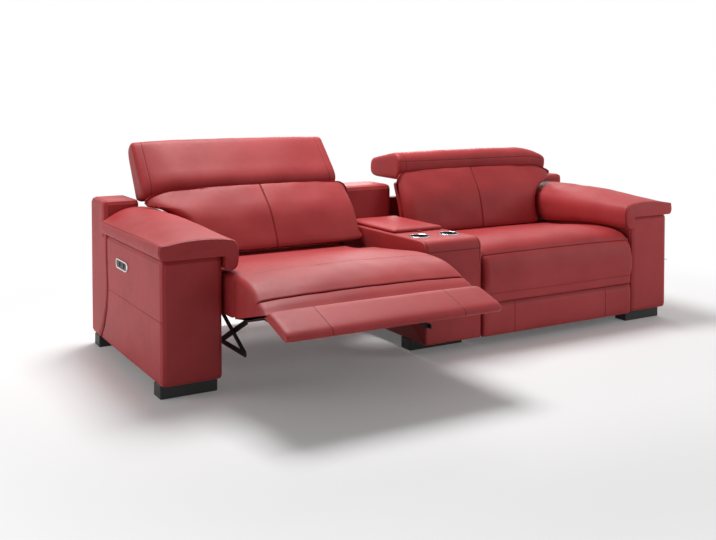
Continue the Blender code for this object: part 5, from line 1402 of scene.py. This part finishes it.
def plain_floor():
    """A flat sheet that goes from matt, with a tenth of painted white to lighten its shadow, to white as
    the distance from the sofa's middle grows.
    """
    material, tree, shader, add = new_material("studio_floor")
    shader.inputs["Base Color"].default_value = FLOOR_COLOUR
    shader.inputs["Roughness"].default_value = FLOOR_ROUGHNESS
    shader.inputs["Specular IOR Level"].default_value = FLOOR_SHINE
    white = add("ShaderNodeEmission")
    white.inputs["Color"].default_value = WHITE
    white.inputs["Strength"].default_value = 1.0
    away = add("ShaderNodeVectorMath", operation="LENGTH")
    tree.links.new(add("ShaderNodeTexCoord").outputs["Object"], away.inputs[0])
    fade = add("ShaderNodeMapRange", interpolation_type="SMOOTHSTEP")
    fade.inputs["From Min"].default_value = FADE_START
    fade.inputs["From Max"].default_value = FADE_END
    fade.inputs["To Min"].default_value = FLOOR_GLOW
    tree.links.new(away.outputs["Value"], fade.inputs["Value"])
    share = add("ShaderNodeMath", operation="MULTIPLY")
    tree.links.new(fade.outputs["Result"], share.inputs[0])
    tree.links.new(seen_plainly(tree), share.inputs[1])
    matt, bright = shader.outputs["BSDF"], white.outputs["Emission"]
    mixed(tree, share.outputs["Value"], matt, bright, "Material Output")
    sheet = np.array(FLOOR_CORNERS)
    floor = mesh_object("studio_floor", sheet, [[0, 1, 2, 3]], material, smooth=False)
    return floor


print(plain_floor().name)

# %% World
WORLD_COLOUR = (1.0, 0.98, 0.98, 1.0)
WORLD_STRENGTH = 0.17


def white_world():
    """A dim even light from all round, which the camera and reflections see as plain white."""
    world = bpy.data.worlds.new("studio")
    bpy.context.scene.world = world
    world.use_nodes = True
    tree = world.node_tree
    dim = tree.nodes["Background"]
    dim.inputs["Color"].default_value = WORLD_COLOUR
    dim.inputs["Strength"].default_value = WORLD_STRENGTH
    white = tree.nodes.new("ShaderNodeBackground")
    white.inputs["Color"].default_value = WHITE
    white.inputs["Strength"].default_value = 1.0
    seen = seen_plainly(tree)
    mixed(tree, seen, dim.outputs["Background"], white.outputs["Background"], "World Output")
    return world


print("world", white_world().name)

# %% [markdown]
# ## Lamps
# A broad lamp overhead and behind lights the tops, and a low one behind adds their shine. A lamp on
# the left lights the arm's side, and a small one near the right arm lifts its front, which leaves
# the left arm's front in shade.

# %% Soft lamps
def soft_lamp(name, place, target, size, power):
    """A square area lamp at a place, whose -Z axis points at its target."""
    data = bpy.data.lights.new(name, "AREA")
    data.shape = "SQUARE"
    data.size = size
    data.energy = power
    lamp = bpy.data.objects.new(name, data)
    bpy.context.collection.objects.link(lamp)
    lamp.location = place
    lamp.rotation_euler = (Vector(target) - Vector(place)).to_track_quat("-Z", "Y").to_euler()
    return lamp


LAMPS = (  # name, place, target, size, power
    ("top_lamp", (-0.3, 1.0, 3.2), (0.1, 0.0, 0.3), 1.5, 116.0),
    ("left_lamp", (-3.6, 0.5, 0.95), (-1.0, 0.2, 0.3), 1.4, 22.0),
    ("right_lamp", (2.4, -2.0, 1.4), (1.0, 0.2, 0.3), 1.2, 16.0),
    ("rear_lamp", (1.9, 3.2, 1.9), (0.0, 0.2, 0.4), 1.8, 42.0),
)
for lamp_row in LAMPS:
    print(soft_lamp(*lamp_row).name)

# %% Colours as written
bpy.context.scene.view_settings.view_transform = "Standard"
